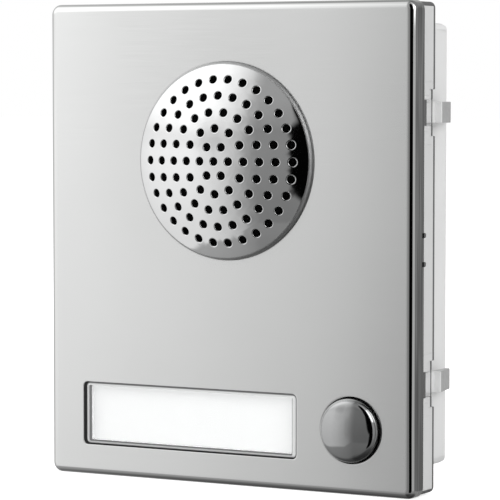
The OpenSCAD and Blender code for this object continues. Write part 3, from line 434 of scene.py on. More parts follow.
button_steel = metal("button_steel", (0.47, 0.475, 0.475), 0.07, 0.012, (700.0, 700.0, 700.0), 0.0004)
plated_steel = metal("plated_steel", (0.62, 0.63, 0.64), 0.32, 0.08, (900.0, 300.0, 900.0), 0.002)
pole_steel = metal("pole_steel", (0.50, 0.50, 0.51), 0.36, 0.08, (300.0, 900.0, 2000.0), 0.003)
body_plastic = plastic("body_plastic", (0.65, 0.652, 0.65), 0.42)
cover_plastic = plastic("cover_plastic", (0.77, 0.772, 0.77), 0.45)
seal_rubber = plastic("seal_rubber", (0.12, 0.12, 0.12), 0.62, 0.12, 2200.0, 0.02)
print("materials so far:", len(bpy.data.materials))

# %% [markdown]
# ## Satin steel of the front
# A belt grinder leaves the front satin, with lines that run across it. A map named grain, made with the front sheet,
# tells the shader which way they run, so that reflections are drawn out across the lines. The belt can't follow the
# rolled edge, which stays nearly polished, and on the upright sides of the skirt the press leaves long streaks. Both
# follow the distance to the edge: a rework puts a change between the shader and what feeds it.

# %% Satin steel of the front
def shader_in(material):
    """The Principled shader of a material."""
    return next(n for n in material.node_tree.nodes if n.type == "BSDF_PRINCIPLED")


def rework(material, label, change):
    """Puts a change between an input of a material's shader and what feeds that input."""
    socket = shader_in(material).inputs[label]
    material.node_tree.links.new(change(socket.links[0].from_socket), socket)


front_half = (50.75, 58.5)
rolled_reach = (1.3 * mm, 2.3 * mm)
rolled_roughness = 0.15
streak_stretch = (1500.0, 1500.0, 40.0)
streak_tones = (-0.30, 0.20)
side_reach = (0.1 * mm, 0.6 * mm)

satin_steel = metal("satin_steel_front", (0.80, 0.805, 0.80), 0.20, 0.03, (60.0, 900.0, 4200.0), 0.0006,
                    Anisotropic=1.0)
tree = satin_steel.node_tree
grain_run = add_node(tree, "ShaderNodeTangent", direction_type="UV_MAP", uv_map="grain")
tree.links.new(grain_run.outputs[0], shader_in(satin_steel).inputs["Tangent"])
place = object_place(tree)
axes = add_node(tree, "ShaderNodeSeparateXYZ", {0: place}).outputs
to_side, to_top = [combine(tree, "SUBTRACT", half * mm, combine(tree, "ABSOLUTE", axes[axis]))
                   for axis, half in zip("XZ", front_half)]
matt_share = map_range(tree, combine(tree, "MINIMUM", to_side, to_top), rolled_reach, (rolled_roughness, 1.0))
rework(satin_steel, "Roughness", lambda fed: combine(tree, "MULTIPLY", fed, matt_share))

streaks = noise(tree, stretched(tree, place, streak_stretch), 1.0, 4.0)
streak_tone = map_range(tree, streaks, (0.35, 0.65), streak_tones)
on_side = map_range(tree, to_side, side_reach, (1.0, 0.0))
side_tone = combine(tree, "MULTIPLY_ADD", streak_tone, on_side, 1.0)
rework(satin_steel, "Base Color", lambda fed: toned(tree, fed, side_tone))
print(satin_steel.name, "nodes:", len(tree.nodes))

# %% [markdown]
# ## Two materials that change on one piece
# The grille is polished after it is domed, but the wheel doesn't reach into its rim, which stays dull. The mask is the
# distance from the grille's axis. The snap hooks get painted shade: their ramps are darkened grey in a noisy pattern,
# and there the mask is the depth behind the front.

# %% Polished grille with a dull rim
grille_z = 20.3
rim_reach = (23.2 * mm, 23.4 * mm)
rim_roughness = 0.50
rim_level = 0.70

polished_steel = metal("polished_steel", (0.83, 0.835, 0.835), 0.055, 0.012, (500.0, 500.0, 500.0), 0.0003)
tree = polished_steel.node_tree
across = stretched(tree, object_place(tree), (1, 0, 1))
off_axis = add_node(tree, "ShaderNodeVectorMath", {0: across, 1: (0, 0, grille_z * mm)}, operation="DISTANCE")
on_rim = map_range(tree, off_axis.outputs["Value"], rim_reach)
rim_tone = map_range(tree, on_rim, wanted=(1.0, rim_level))
rework(polished_steel, "Roughness", lambda fed: combine(tree, "MULTIPLY_ADD", on_rim, rim_roughness, fed))
rework(polished_steel, "Base Color", lambda fed: toned(tree, fed, rim_tone))
print(polished_steel.name, "nodes:", len(tree.nodes))

# %% Hooks with painted shade on their ramps
ramp_start = (3.6 * mm, 4.1 * mm)
ramp_shade_scale = 900.0
ramp_shade_tones = (-0.48, -0.28)

latch_plastic = plastic("latch_plastic", (0.70, 0.702, 0.70), 0.38)
tree = latch_plastic.node_tree
place = object_place(tree)
depth = add_node(tree, "ShaderNodeSeparateXYZ", {0: place}).outputs["Y"]
# Painted shade: the colour of the hooks' ramps is darkened, in a noisy pattern, behind the catch face.
ramp_shade_noise = map_range(tree, noise(tree, place, ramp_shade_scale, 3.0), wanted=ramp_shade_tones)
painted_ramp_shade = combine(tree, "MULTIPLY_ADD", ramp_shade_noise, map_range(tree, depth, ramp_start), 1.0)
rework(latch_plastic, "Base Color", lambda fed: toned(tree, fed, painted_ramp_shade))
print(latch_plastic.name, "nodes:", len(tree.nodes))

# %% [markdown]
# ## From a bmesh to a piece
# Every new piece is shaped in millimetres, because the drawings are in millimetres, and scaled to metres once at the
# end. The same step puts the mesh at the origin, shades its curved faces smoothly, hangs it on the body that it moves
# with, and hides the plain solid that it stands for.

# %% Piece maker
def make_piece(bm, name, body, material, stands_for=(), crease=32.0):
    """Turns a bmesh into a piece that rides on a body and replaces CAD nodes."""
    bmesh.ops.scale(bm, vec=(mm, mm, mm), verts=bm.verts)
    piece = object_from(bm, name)
    mesh = piece.data
    mesh.polygons.foreach_set("use_smooth", [True] * len(mesh.polygons))
    mesh.set_sharp_from_angle(angle=radians(crease))
    mesh.materials.append(material)
    even = piece.modifiers.new("even_shading", "WEIGHTED_NORMAL")
    even.keep_sharp = True
    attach(piece, body)
    if stands_for:
        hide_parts(*stands_for)
    mesh.calc_loop_triangles()
    print(name, "triangles:", len(mesh.loop_triangles))
    return piece


def rounded_edges(bm, edges, width, segments, clamp=True):
    """A round bevel along edges."""
    bmesh.ops.bevel(bm, geom=list(edges), offset=width, offset_type="OFFSET", segments=segments, profile=0.5,
                    affect="EDGES", clamp_overlap=clamp, material=-1)


def mm_box(node):
    """Lowest and highest corner of a CAD node in millimetres."""
    low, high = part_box(node)
    return low * 1000, high * 1000


print("piece maker ready")

# %% [markdown]
# ## Steel front
# The front is a sheet of stainless steel 1.2 mm thick, pressed over a block: its edges roll back into a low skirt,
# and the grille, the name window and the button come through punched openings. A press makes it in one stroke, so the
# model follows the press: a block gets round corners and a rolled front edge, its back is opened, and the openings
# are rings let into the flat face. A narrow ring of faces beside every edge keeps the large flat face truly flat in
# the reflections. The sheet gets its thickness last, and the punched edges a small round.

# %% Front sheet
plate_low, plate_high = mm_box("front_plate")
face_y = plate_low.y
skirt_y = face_y + 4.9
plate_size = Vector((plate_high.x - plate_low.x, skirt_y - face_y, plate_high.z - plate_low.z))
sheet_t = 1.2
corner_r = 2.4
roll_r = 1.9
round_steps = 8
flat_ring = 0.45


def block(bm, middle, size):
    """A block round a middle. Gives back its corners."""
    corners = bmesh.ops.create_cube(bm, size=1.0)["verts"]
    bmesh.ops.scale(bm, vec=size, verts=corners)
    bmesh.ops.translate(bm, vec=middle, verts=corners)
    return corners


def middle_y(face):
    """How far back the middle of a face lies."""
    return face.calc_center_median().y


front = bmesh.new()
block(front, (0, (face_y + skirt_y) / 2, 0), plate_size)
corners = [e for e in front.edges if abs((e.verts[0].co - e.verts[1].co).y) > 1]
rounded_edges(front, corners, corner_r, round_steps)
rounded_edges(front, min(front.faces, key=middle_y).edges, roll_r, round_steps)
bmesh.ops.delete(front, geom=[max(front.faces, key=middle_y)], context="FACES_ONLY")
flat = max((f for f in front.faces if f.normal.y < -0.999), key=lambda f: f.calc_area())
bmesh.ops.inset_region(front, faces=[flat], thickness=flat_ring, use_even_offset=True)
rim = list(flat.edges)
bmesh.ops.delete(front, geom=[flat], context="FACES_ONLY")
print("pressed block:", len(front.faces), "faces")

# %% [markdown]
# The openings are drawn flat on the table, a circle or a rectangle with round corners, and then stood up on the face.
# Each keeps a narrow ring round itself. The edges of the rings and of the face are then filled in one go.

# %% Shapes of the openings
def unique(items):
    """Each item once, in the order of the first time, so that every run makes the same mesh."""
    return list(dict.fromkeys(items))


def lay_on_face(bm, verts, place):
    """Turns a shape drawn flat on the table upright, facing the front, and moves it to its place."""
    bmesh.ops.rotate(bm, cent=(0, 0, 0), matrix=Matrix.Rotation(radians(90), 3, "X"), verts=verts)
    bmesh.ops.translate(bm, vec=place, verts=verts)


def opening(bm, face, place):
    """A ring of faces round an opening: the outer edges of the ring are given back."""
    ring = bmesh.ops.inset_region(bm, faces=[face], thickness=flat_ring, use_even_offset=True, use_boundary=True)
    outer = [e for f in ring["faces"] for e in f.edges if e.is_boundary]
    lay_on_face(bm, unique(v for f in ring["faces"] for v in f.verts), place)
    bmesh.ops.delete(bm, geom=[face], context="FACES_ONLY")
    return outer


def round_face(bm, radius, segments):
    """A circle as one face."""
    made = bmesh.ops.create_circle(bm, cap_ends=True, segments=segments, radius=radius)
    return made["verts"][0].link_faces[0]


def window_face(bm, width, height, radius):
    """A rectangle with round corners as one face."""
    made = bmesh.ops.create_grid(bm, x_segments=1, y_segments=1, size=0.5)
    bmesh.ops.scale(bm, vec=(width, height, 1), verts=made["verts"])
    corner = bmesh.ops.bevel(bm, geom=made["verts"], offset=radius, offset_type="OFFSET", segments=6, profile=0.5,
                             affect="VERTICES", material=-1)
    return max({f for v in corner["verts"] for f in v.link_faces}, key=lambda f: f.calc_area())


def face_middle(node):
    """The middle of a CAD node, moved to the front face."""
    low, high = mm_box(node)
    return Vector(((low.x + high.x) / 2, face_y, (low.z + high.z) / 2))


grille_centre = Vector((0, face_y, grille_z))
window_centre = face_middle("name_lens")
button_centre = face_middle("push_button")
print("window at", window_centre, "button at", button_centre)

# %% [markdown]
# Parts of the name window are given as fields: left, right, bottom and top, seen from the window's centre.

# %% Openings in the front sheet
def field_size_of(field):
    """Width and height of a field."""
    return field[1] - field[0], field[3] - field[2]


def field_middle(field, depth):
    """The middle of a field, at a depth."""
    return window_centre + Vector(((field[0] + field[1]) / 2, depth - face_y, (field[2] + field[3]) / 2))


def inside_of(field, *strips):
    """The field inside strips along its left, right, bottom and top; one strip stands for all four."""
    left, right, bottom, top = strips * 4 if len(strips) == 1 else strips
    return field[0] + left, field[1] - right, field[2] + bottom, field[3] - top


def face_front(bm):
    """Turns the faces of an open sheet so that its outside looks to the front."""
    bmesh.ops.recalc_face_normals(bm, faces=bm.faces)
    if sum(f.normal.y * f.calc_area() for f in bm.faces) > 0:
        bmesh.ops.reverse_faces(bm, faces=bm.faces)


grille_hole_r = 23.95
button_hole_r = 8.0
opening_field = (-30.4, 30.0, -7.95, 7.75)
opening_corner = 1.65
ring_field = inside_of(opening_field, -flat_ring)

rim += opening(front, round_face(front, grille_hole_r + flat_ring, 144), grille_centre)
rim += opening(front, round_face(front, button_hole_r + flat_ring, 96), button_centre)
rim += opening(front, window_face(front, *field_size_of(ring_field), opening_corner),
               field_middle(ring_field, face_y))
bmesh.ops.triangle_fill(front, use_beauty=True, use_dissolve=False, edges=rim, normal=(0, -1, 0))
face_front(front)
print("sheet with openings:", len(front.faces), "faces")

# %% [markdown]
# Solidify gives the sheet its thickness. The punched edges are the sharp ones round the openings in the front face:
# they get a small round, and a smaller one where the grille sits snugly. Two tabs on each side of the skirt lock the
# sheet on the body. The map named grain lays the lines across the front and on round its edges.

# %% Thickness, punched edges and locking tabs of the front
punch_round = 0.14
snug_round = 0.07
tab_size = (sheet_t, 2.0, 1.2)
tab_z = 3.4
tab_round = 0.55

bmesh.ops.solidify(front, geom=front.faces[:], thickness=sheet_t)
print("front of the sheet at %.2f, CAD face at %.2f" % (min(v.co.y for v in front.verts), face_y))
punched = [e for e in front.edges if len(e.link_faces) == 2
           and all(abs(v.co.y - face_y) < 0.01 for v in e.verts)
           and min(f.normal.y for f in e.link_faces) < -0.9
           and max(f.normal.y for f in e.link_faces) > -0.2]
snug = [e for e in punched if abs((e.verts[0].co - grille_centre).length - grille_hole_r) < 0.05]
rounded_edges(front, [e for e in punched if e not in snug], punch_round, 3)
rounded_edges(front, [e for e in snug if e.is_valid], snug_round, 2)
for side in (-1, 1):
    for level in (-tab_z, tab_z):
        tab = block(front, (side * (plate_size.x - sheet_t) / 2, skirt_y + 0.1, level), tab_size)
        ends = [e for e in unique(e for v in tab for e in v.link_edges)
                if all(w.co.y > skirt_y + 1 for w in e.verts)
                and abs(e.verts[0].co.x - e.verts[1].co.x) > 0.5]
        rounded_edges(front, ends, tab_round, 5)
grain_map = front.loops.layers.uv.new("grain")
for face in front.faces:
    over_top = (face.normal.z > 0.7) - (face.normal.z < -0.7)
    over_side = (face.normal.x > 0.7) - (face.normal.x < -0.7)
    for loop in face.loops:
        back = loop.vert.co.y - face_y
        loop[grain_map].uv = ((loop.vert.co.z + over_top * back) / 100, (loop.vert.co.x + over_side * back) / 100)
make_piece(front, "front_sheet", "module", satin_steel, ["front_plate"])

# %% [markdown]
# ## Loudspeaker grille
# The grille is a polished steel dome with a hole in the middle and five rings of holes round it. It is punched flat
# and domed afterwards, and so is this one. One cell, a curved square with a round hole, is drawn for each ring and
# spun round the centre; strips join the rings, and then every point is pressed forward onto the sphere. The rim is
# drawn over a small radius into a short wall and a flange that sits behind the front.

# %% Flat blank with rings of holes
dome_r = 60.0
hole_r = 1.0
hole_ring = 0.32
pitch = 3.95
rings = 5
side_cuts = 6
strip = 0.2

blank = bmesh.new()


def circle_loop(bm, radius, segments):
    """A circle of edges."""
    made = bmesh.ops.create_circle(bm, cap_ends=False, segments=segments, radius=radius)
    return unique(e for v in made["verts"] for e in v.link_edges)


def ring_cell(bm, ring):
    """One cell of a ring: a patch of the ring with a round hole in it. Gives back its geometry."""
    grid = bmesh.ops.create_grid(bm, x_segments=side_cuts, y_segments=side_cuts, size=1.0)["verts"]
    inner = [v for v in grid if max(abs(v.co.x), abs(v.co.y)) < 0.99]
    border = [v for v in grid if v not in inner]
    bmesh.ops.delete(bm, geom=inner, context="VERTS")
    for v in border:
        radius = ring * pitch + v.co.x * (pitch / 2 - strip)
        turn = v.co.y * pi / (6 * ring)
        v.co = (radius * cos(turn), radius * sin(turn), 0)
    outline = unique(e for v in border for e in v.link_edges)
    around = circle_loop(bm, hole_r + hole_ring, 4 * side_cuts)
    hole = circle_loop(bm, hole_r, 4 * side_cuts)
    round_verts = unique(v for e in around + hole for v in e.verts)
    squeeze = sqrt(1 - (ring * pitch / dome_r) ** 2)
    bmesh.ops.scale(bm, vec=(squeeze, 1, 1), verts=round_verts)
    bmesh.ops.translate(bm, vec=(ring * pitch, 0, 0), verts=round_verts)
    outer = bmesh.ops.bridge_loops(bm, edges=outline + around)
    inner = bmesh.ops.bridge_loops(bm, edges=around + hole)
    return unique(border + round_verts + outline + around + hole
                  + outer["faces"] + outer["edges"] + inner["faces"] + inner["edges"])


for ring in range(1, rings + 1):
    count = 6 * ring
    bmesh.ops.spin(blank, geom=ring_cell(blank, ring), cent=(0, 0, 0), axis=(0, 0, 1),
                   angle=2 * pi * (count - 1) / count, steps=count - 1, use_duplicate=True)
bmesh.ops.remove_doubles(blank, verts=blank.verts, dist=0.001)
print("rings of cells:", len(blank.faces), "faces")

# %% [markdown]
# Neighbouring rings have different numbers of points, so the narrow strips between them are filled with triangles.
# The dome's own outline is worked out first: a large sphere that meets a small round shoulder without a kink.

# %% Joining the rings
grille_r = 23.9
shoulder_r = 0.95
wall_h = 0.35


def dome_shape(dome, outer, edge, wall):
    """How far a dome's centre lies behind the foot of its wall, and the angle at which its rounded edge begins."""
    base = sqrt((dome - edge) ** 2 - (outer - edge) ** 2) - wall
    return base, asin((outer - edge) / (dome - edge))


def rounded_shoulder(outer, edge, wall, lean, steps):
    """Points of the rounded edge between a dome and its wall: radius, and depth behind the front face."""
    angles = [lean + (pi / 2 - lean) * step / steps for step in range(steps + 1)]
    return [(outer - edge + edge * sin(angle), -wall - edge * cos(angle)) for angle in angles]


def loop_at(radius):
    """Open edges that run round the centre at a radius."""
    return [e for e in blank.edges if len(e.link_faces) < 2
            and all(abs(hypot(v.co.x, v.co.y) - radius) < 0.01 for v in e.verts)]


dome_base, lean = dome_shape(dome_r, grille_r, shoulder_r, wall_h)
border_r = dome_r * sin(lean) - 0.6
middle_hole = circle_loop(blank, hole_r, 4 * side_cuts)
middle_ring = circle_loop(blank, hole_r + hole_ring, 4 * side_cuts)
bmesh.ops.bridge_loops(blank, edges=middle_hole + middle_ring)
circle_loop(blank, border_r, 36 * rings)
inner_radii = [hole_r + hole_ring] + [(ring + 0.5) * pitch - strip for ring in range(1, rings + 1)]
outer_radii = [(ring + 0.5) * pitch + strip for ring in range(rings)] + [border_r]
for inner_radius, outer_radius in zip(inner_radii, outer_radii):
    bmesh.ops.triangle_fill(blank, use_beauty=True, use_dissolve=False, normal=(0, 0, 1),
                            edges=loop_at(inner_radius) + loop_at(outer_radius))
print("blank:", len(blank.faces), "faces, open edges:", sum(e.is_boundary for e in blank.edges))

# %% [markdown]
# Pressing moves every point of the blank straight forward onto the sphere. The outer edge is then extruded from one
# point of the profile to the next, over the shoulder, down the wall and out into the flange.

# %% Pressing the dome, the wall and the flange
grille_t = 0.8
flange_w = 2.2
flange_bend = 0.15


def radius_of(v):
    """A point's distance from the grille's axis."""
    return hypot(v.co.x, v.co.z - grille_centre.z)


for v in blank.verts:
    radius = hypot(v.co.x, v.co.y)
    v.co = (v.co.x, face_y + dome_base - sqrt(dome_r ** 2 - radius ** 2), v.co.y + grille_centre.z)
face_front(blank)
profile = rounded_shoulder(grille_r, shoulder_r, wall_h, lean, 7)
profile += [(grille_r, 0.0), (grille_r, sheet_t - flange_bend), (grille_r + flange_bend, sheet_t),
            (grille_r + flange_w, sheet_t)]
edge_loop = [e for e in blank.edges if e.is_boundary and min(map(radius_of, e.verts)) > border_r - 0.05]
for radius, depth in profile:
    grown = bmesh.ops.extrude_edge_only(blank, edges=edge_loop)["geom"]
    edge_loop = [g for g in grown if isinstance(g, bmesh.types.BMEdge) and g.is_boundary]
    ring_verts = unique(v for e in edge_loop for v in e.verts)
    growth = radius / radius_of(ring_verts[0])
    bmesh.ops.scale(blank, vec=(growth, 1, growth), space=Matrix.Translation(-grille_centre), verts=ring_verts)
    bmesh.ops.translate(blank, vec=(0, face_y + depth - ring_verts[0].co.y, 0), verts=ring_verts)
face_front(blank)
bmesh.ops.solidify(blank, geom=blank.faces[:], thickness=grille_t)
print("dome from %.2f to %.2f" % (min(v.co.y for v in blank.verts), max(v.co.y for v in blank.verts)))

# %% [markdown]
# A punch rolls the edge of its hole a little, and that roll catches a thin ring of light. The edges to round are those
# between the outside of the dome and the wall of a hole.

# %% Rolled edges of the holes
hole_round = 0.2
dome_centre = Vector((0, face_y + dome_base, grille_centre.z))
hole_rims = []
for e in blank.edges:
    if len(e.link_faces) == 2 and max(map(radius_of, e.verts)) < (rings + 0.5) * pitch:
        outside = [f for f in e.link_faces if f.normal.y < -0.7
                   and (f.calc_center_median() - dome_centre).length > dome_r - 0.15]
        if len(outside) == 1 and e.calc_face_angle() > radians(60):
            hole_rims.append(e)
print("rolled edges:", len(hole_rims))
rounded_edges(blank, hole_rims, hole_round, 3)
make_piece(blank, "grille_dome", "module", polished_steel, ["speaker_grille"], 40.0)

# %% [markdown]
# ## Call button
# The button is turned from solid bar: a shallow dome with a rounded rim, and a stem behind it that the hidden guide
# holds. A turned part is a profile spun round its axis, so the profile is a few points and the spin does the rest.

# %% Button
button_dome_r = 21.0
button_r = 7.6
rim_r = 1.8
rim_wall = 0.7
cap_rear = -9.2
cap_edge = 0.3
stem_r = 2.5
stem_end = mm_box("push_button")[1].y
stem_edge = 0.2
groove_r = 2.0
groove_front = -3.95
groove_rear = -3.15
dome_steps = 10


def turned_part(bm, points, centre, steps):
    """Spins a profile of radius and depth round the line that runs front to back through a centre."""
    verts = [bm.verts.new((centre.x + r, y, centre.z)) for r, y in points]
    edges = [bm.edges.new(pair) for pair in zip(verts, verts[1:])]
    bmesh.ops.spin(bm, geom=verts + edges, cent=(centre.x, 0, centre.z), axis=(0, 1, 0), angle=2 * pi, steps=steps,
                   use_merge=True)
    bmesh.ops.remove_doubles(bm, verts=bm.verts, dist=0.0005)
    bmesh.ops.recalc_face_normals(bm, faces=bm.faces)


button_base, button_lean = dome_shape(button_dome_r, button_r, rim_r, rim_wall)
dome_angles = [button_lean * step / dome_steps for step in range(dome_steps + 1)]
outline = [(button_dome_r * sin(angle), face_y + button_base - button_dome_r * cos(angle)) for angle in dome_angles]
shoulder = rounded_shoulder(button_r, rim_r, rim_wall, button_lean, 7)
outline += [(radius, face_y + depth) for radius, depth in shoulder[1:]]
outline += [(button_r, cap_rear - cap_edge), (button_r - cap_edge, cap_rear), (stem_r, cap_rear),
            (stem_r, groove_front), (groove_r, groove_front), (groove_r, groove_rear), (stem_r, groove_rear),
            (stem_r, groove_rear + stem_edge), (stem_r - stem_edge, stem_end), (0, stem_end)]
cap = bmesh.new()
turned_part(cap, outline, button_centre, 96)
make_piece(cap, "button_cap", "button", button_steel, ["push_button"], 38.0)

# %% [markdown]
# ## Return spring
# Behind the cap a coil of spring wire pushes the button out again. A coil is a small circle that is carried round an
# axis while it climbs along it, which is what the spin does when every step also has a move along the axis. A pressed
# button makes the coil shorter.

# %% Return spring
spring_low, spring_high = mm_box("button_spring")
spring_wire = 0.6
spring_turns = 2.5
spring_steps = 75
coil_r = (spring_high.x - spring_low.x - spring_wire) / 2
coil_rise = spring_high.y - spring_low.y - spring_wire
coil_start = Vector((button_centre.x + coil_r, spring_low.y + spring_wire / 2, button_centre.z))

coil = bmesh.new()
wire_end = bmesh.ops.create_circle(coil, cap_ends=True, segments=10, radius=spring_wire / 2)["verts"]
bmesh.ops.translate(coil, vec=coil_start, verts=wire_end)
bmesh.ops.spin(coil, geom=coil.verts[:] + coil.edges[:] + coil.faces[:], cent=(button_centre.x, 0, button_centre.z),
               axis=(0, -1, 0), dvec=(0, coil_rise / spring_steps, 0), angle=2 * pi * spring_turns,
               steps=spring_steps)
bmesh.ops.recalc_face_normals(coil, faces=coil.faces)
return_spring = make_piece(coil, "return_spring", "module", plated_steel, ["button_spring"])
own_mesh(return_spring)

# %% [markdown]
# ## Name window
# Four pieces make the window. A clear acrylic pane covers the card, with a flange behind the steel that keeps it from
# being pushed out. It lies in a grey bed, a little off the middle, inside a pale rim that slopes up to it; the bed's
# grey is a painted reflection of the pane's side walls. A near-black rubber seal lines the gap between rim and steel,
# and its black is painted shade of that gap. The dark and light lines that frame the card are these edges, one inside
# the other. Each is a rectangle with round corners that is inset and extruded. The pane casts no shadow, because clear
# acrylic lets the light through to the card.

# %% Clear pane
lens_material, tree = new_material("clear_acrylic")
haze = map_range(tree, noise(tree, object_place(tree), 120.0, 3.0), wanted=(0.0, 0.05))
principled(tree, {"Base Color": (0.985, 0.99, 0.99, 1), "Roughness": haze, "Transmission Weight": 1.0, "IOR": 1.49})

lens_front = face_y + 0.33
flange_front = face_y + sheet_t
flange_rear = flange_front + 1.0
flange_field = (-31.6, 31.6, -9.15, 9.15)
flange_corner = 2.6
pane_field = (-28.19, 28.60, -6.69, 6.83)
pane_corner = 0.2
pane_bevel = 0.1
hair_gap = 0.02

pane = bmesh.new()
for field, radius, rear, front_y in ((flange_field, flange_corner, flange_rear, flange_front + hair_gap),
                                     (pane_field, pane_corner, flange_front, lens_front)):
    back = window_face(pane, *field_size_of(field), radius)
    lay_on_face(pane, back.verts, field_middle(field, rear))
    grown = bmesh.ops.extrude_face_region(pane, geom=[back])["geom"]
    pane_face = next(g for g in grown if isinstance(g, bmesh.types.BMFace))
    bmesh.ops.translate(pane, vec=(0, front_y - rear, 0), verts=pane_face.verts)
bmesh.ops.recalc_face_normals(pane, faces=pane.faces)
rounded_edges(pane, pane_face.edges, pane_bevel, 1, clamp=False)
window_pane = make_piece(pane, "window_pane", "module", lens_material, ["name_lens"], 25.0)
window_pane.visible_shadow = False

# %% [markdown]
# The rings round the pane are frames between two fields. A frame is one face that is inset and loses its middle. Its
# inner edge is then stretched and shifted to fit the inner field. The extrusion leaves a copy of the ring as its back,
# and the ring itself moves to the front. Neighbouring rings stay a hair apart, so that no two walls lie in the same
# place.

# %% Frame rings
def frame_ring(bm, outer, inner, radius, outer_front, inner_front):
    """A closed frame with round corners between two fields of the window; its front may slope."""
    (wide, high), (hole_wide, hole_high) = field_size_of(outer), field_size_of(inner)
    middle = window_face(bm, wide, high, radius)
    band = min(wide - hole_wide, high - hole_high) / 2
    ring = bmesh.ops.inset_region(bm, faces=[middle], thickness=band, use_even_offset=True,
                                  use_boundary=True)["faces"]
    inside = list(middle.verts)
    bmesh.ops.scale(bm, vec=(hole_wide / (wide - 2 * band), hole_high / (high - 2 * band), 1), verts=inside)
    drift = field_middle(inner, flange_front) - field_middle(outer, flange_front)
    bmesh.ops.translate(bm, vec=(drift.x, drift.z, 0), verts=inside)
    bmesh.ops.delete(bm, geom=[middle], context="FACES_ONLY")
    ring_verts = unique(v for f in ring for v in f.verts)
    lay_on_face(bm, ring_verts, field_middle(outer, flange_front))
    bmesh.ops.extrude_face_region(bm, geom=ring)
    for v in ring_verts:
        v.co.y = inner_front if v in inside else outer_front


def frame_piece(name, slot, material, *rings):
    """One or more frame rings as a piece of the module."""
    bm = bmesh.new()
    for ring in rings:
        frame_ring(bm, *ring)
    bmesh.ops.recalc_face_normals(bm, faces=bm.faces)
    make_piece(bm, name, "module", material, crease=25.0)


rim_field = (-29.6, 29.6, -7.51, 7.31)
lip_field = inside_of(opening_field, hair_gap)
lip_hole = inside_of(lip_field, 0.66, 0.07, 0.30, 0.07)
floor_field = inside_of(lip_hole, hair_gap)
floor_hole = inside_of(rim_field, -hair_gap)
rim_hole = inside_of(rim_field, 0.69, 0.69, 0.42, 0.42)
bed_field = inside_of(rim_hole, hair_gap)
bed_hole = inside_of(pane_field, -hair_gap)
print("rim, bed, floor and lip from %.1f to %.1f mm wide" % (field_size_of(bed_hole)[0], field_size_of(lip_field)[0]))

# %% Rim, bed and seal of the window
rim_outer_y = face_y + 0.41
rim_inner_y = face_y + 0.02
floor_y = face_y + 0.45
lip_y = face_y + 0.3
rim_corner, bed_corner, floor_corner, lip_corner = 0.8, 0.38, 1.04, 1.18

rim_material = plastic("acrylic_rim", (0.68, 0.685, 0.685), 0.22, 0.03, 900.0, 0.002)
# Painted reflection: the bed's dark grey stands for the pane's side walls.
bed_painted_reflection = plastic("pane_bed_painted_reflection", (0.17, 0.172, 0.172), 0.5, 0.15, 1800.0, 0.01)
# Painted shade: the seal's near black stands for the shade in the gap round the window.
seal_gap_shade = plastic("window_seal_gap_shade", (0.012, 0.012, 0.012), 0.7, 0.2, 1800.0, 0.01)
frame_piece("window_rim", "clear_lens", rim_material, (rim_field, rim_hole, rim_corner, rim_outer_y, rim_inner_y))
frame_piece("pane_bed", "seal_rubber", bed_painted_reflection, (bed_field, bed_hole, bed_corner, lens_front, lens_front),
            (floor_field, floor_hole, floor_corner, floor_y, floor_y))
frame_piece("window_seal", "seal_rubber", seal_gap_shade, (lip_field, lip_hole, lip_corner, lip_y, lip_y))

# %% [markdown]
# ## Moulded pieces with softened edges
# A mould has no sharp inside corners and a moulded piece no sharp edges: each outer edge is round by a few tenths of
# a millimetre, and that thin line of light is what tells a moulding from a drawing. The CAD solid has the right shape,
# so a copy of its mesh is taken, its loose triangles are merged and joined to whole faces, and a round bevel runs
# along the edges that a hand can reach.

# %% Softened copies
sharp_angle = radians(40.0)
flat_angle = radians(0.5)


def softened(node, name, body, material, width, pick=None):
    """A copy of a CAD node with its edges rounded; pick says which edges, by their two ends in millimetres."""
    bm = bmesh.new()
    bm.from_mesh(bpy.data.objects[node].data)
    bmesh.ops.scale(bm, vec=(1000, 1000, 1000), verts=bm.verts)
    bmesh.ops.remove_doubles(bm, verts=bm.verts, dist=0.002)
    bmesh.ops.dissolve_limit(bm, angle_limit=flat_angle, verts=bm.verts, edges=bm.edges)
    sharp = [e for e in bm.edges if len(e.link_faces) == 2 and e.calc_face_angle() > sharp_angle
             and e.calc_face_angle_signed() > 0 and (pick is None or pick(e.verts[0].co, e.verts[1].co))]
    rounded_edges(bm, sharp, width, 2, clamp=False)
    make_piece(bm, name, body, material, [node])


def along_body(a, b):
    """Long outer edges of the body."""
    return max(abs(a.x), abs(b.x)) > 44 or max(abs(a.z), abs(b.z)) > 50


softened("mid_housing", "moulded_body", "module", body_plastic, 0.2, along_body)
softened("rear_cover", "closed_cover", "module", cover_plastic, 0.25)
softened("seat_gasket", "seat_seal", "module", seal_rubber, 0.15)
for side in ("right", "left"):
    for level in ("upper", "lower"):
        hook = "latch_%s_%s" % (side, level)
        softened(hook, hook + "_tongue", hook + "_arm", latch_plastic, 0.15)

# %% [markdown]
# ## Slots of the snap hooks
# Each hook comes out of a slot in the body's side. A dark rubber pad in the front of the slot is painted shade: it
# stands where the slot lies in shadow. A thin web of the seal bridges the slot where the seal would be cut. Fine ribs
# left by the mould's inserts run above and below. They are all small bars, so one helper makes a bar with rounded
# edges.

# %% Painted shade pads, webs and mould ribs
def bar(bm, middle, size, rounding):
    """A small bar with rounded edges."""
    rounded_edges(bm, unique(e for v in block(bm, middle, size) for e in v.link_edges), rounding, 2)


side_x = mm_box("mid_housing")[1].x
hook_z = face_middle("latch_right_upper").z
slot_h = 6.2
shade_pad_y = -5.1
web_y = -0.45
rib_front = -6.9
# How far above or below the hook each rib runs, and its length
ribs = [(-7.4, 5.4), (-4.2, 3.6), (4.2, 3.6), (7.4, 5.4)]

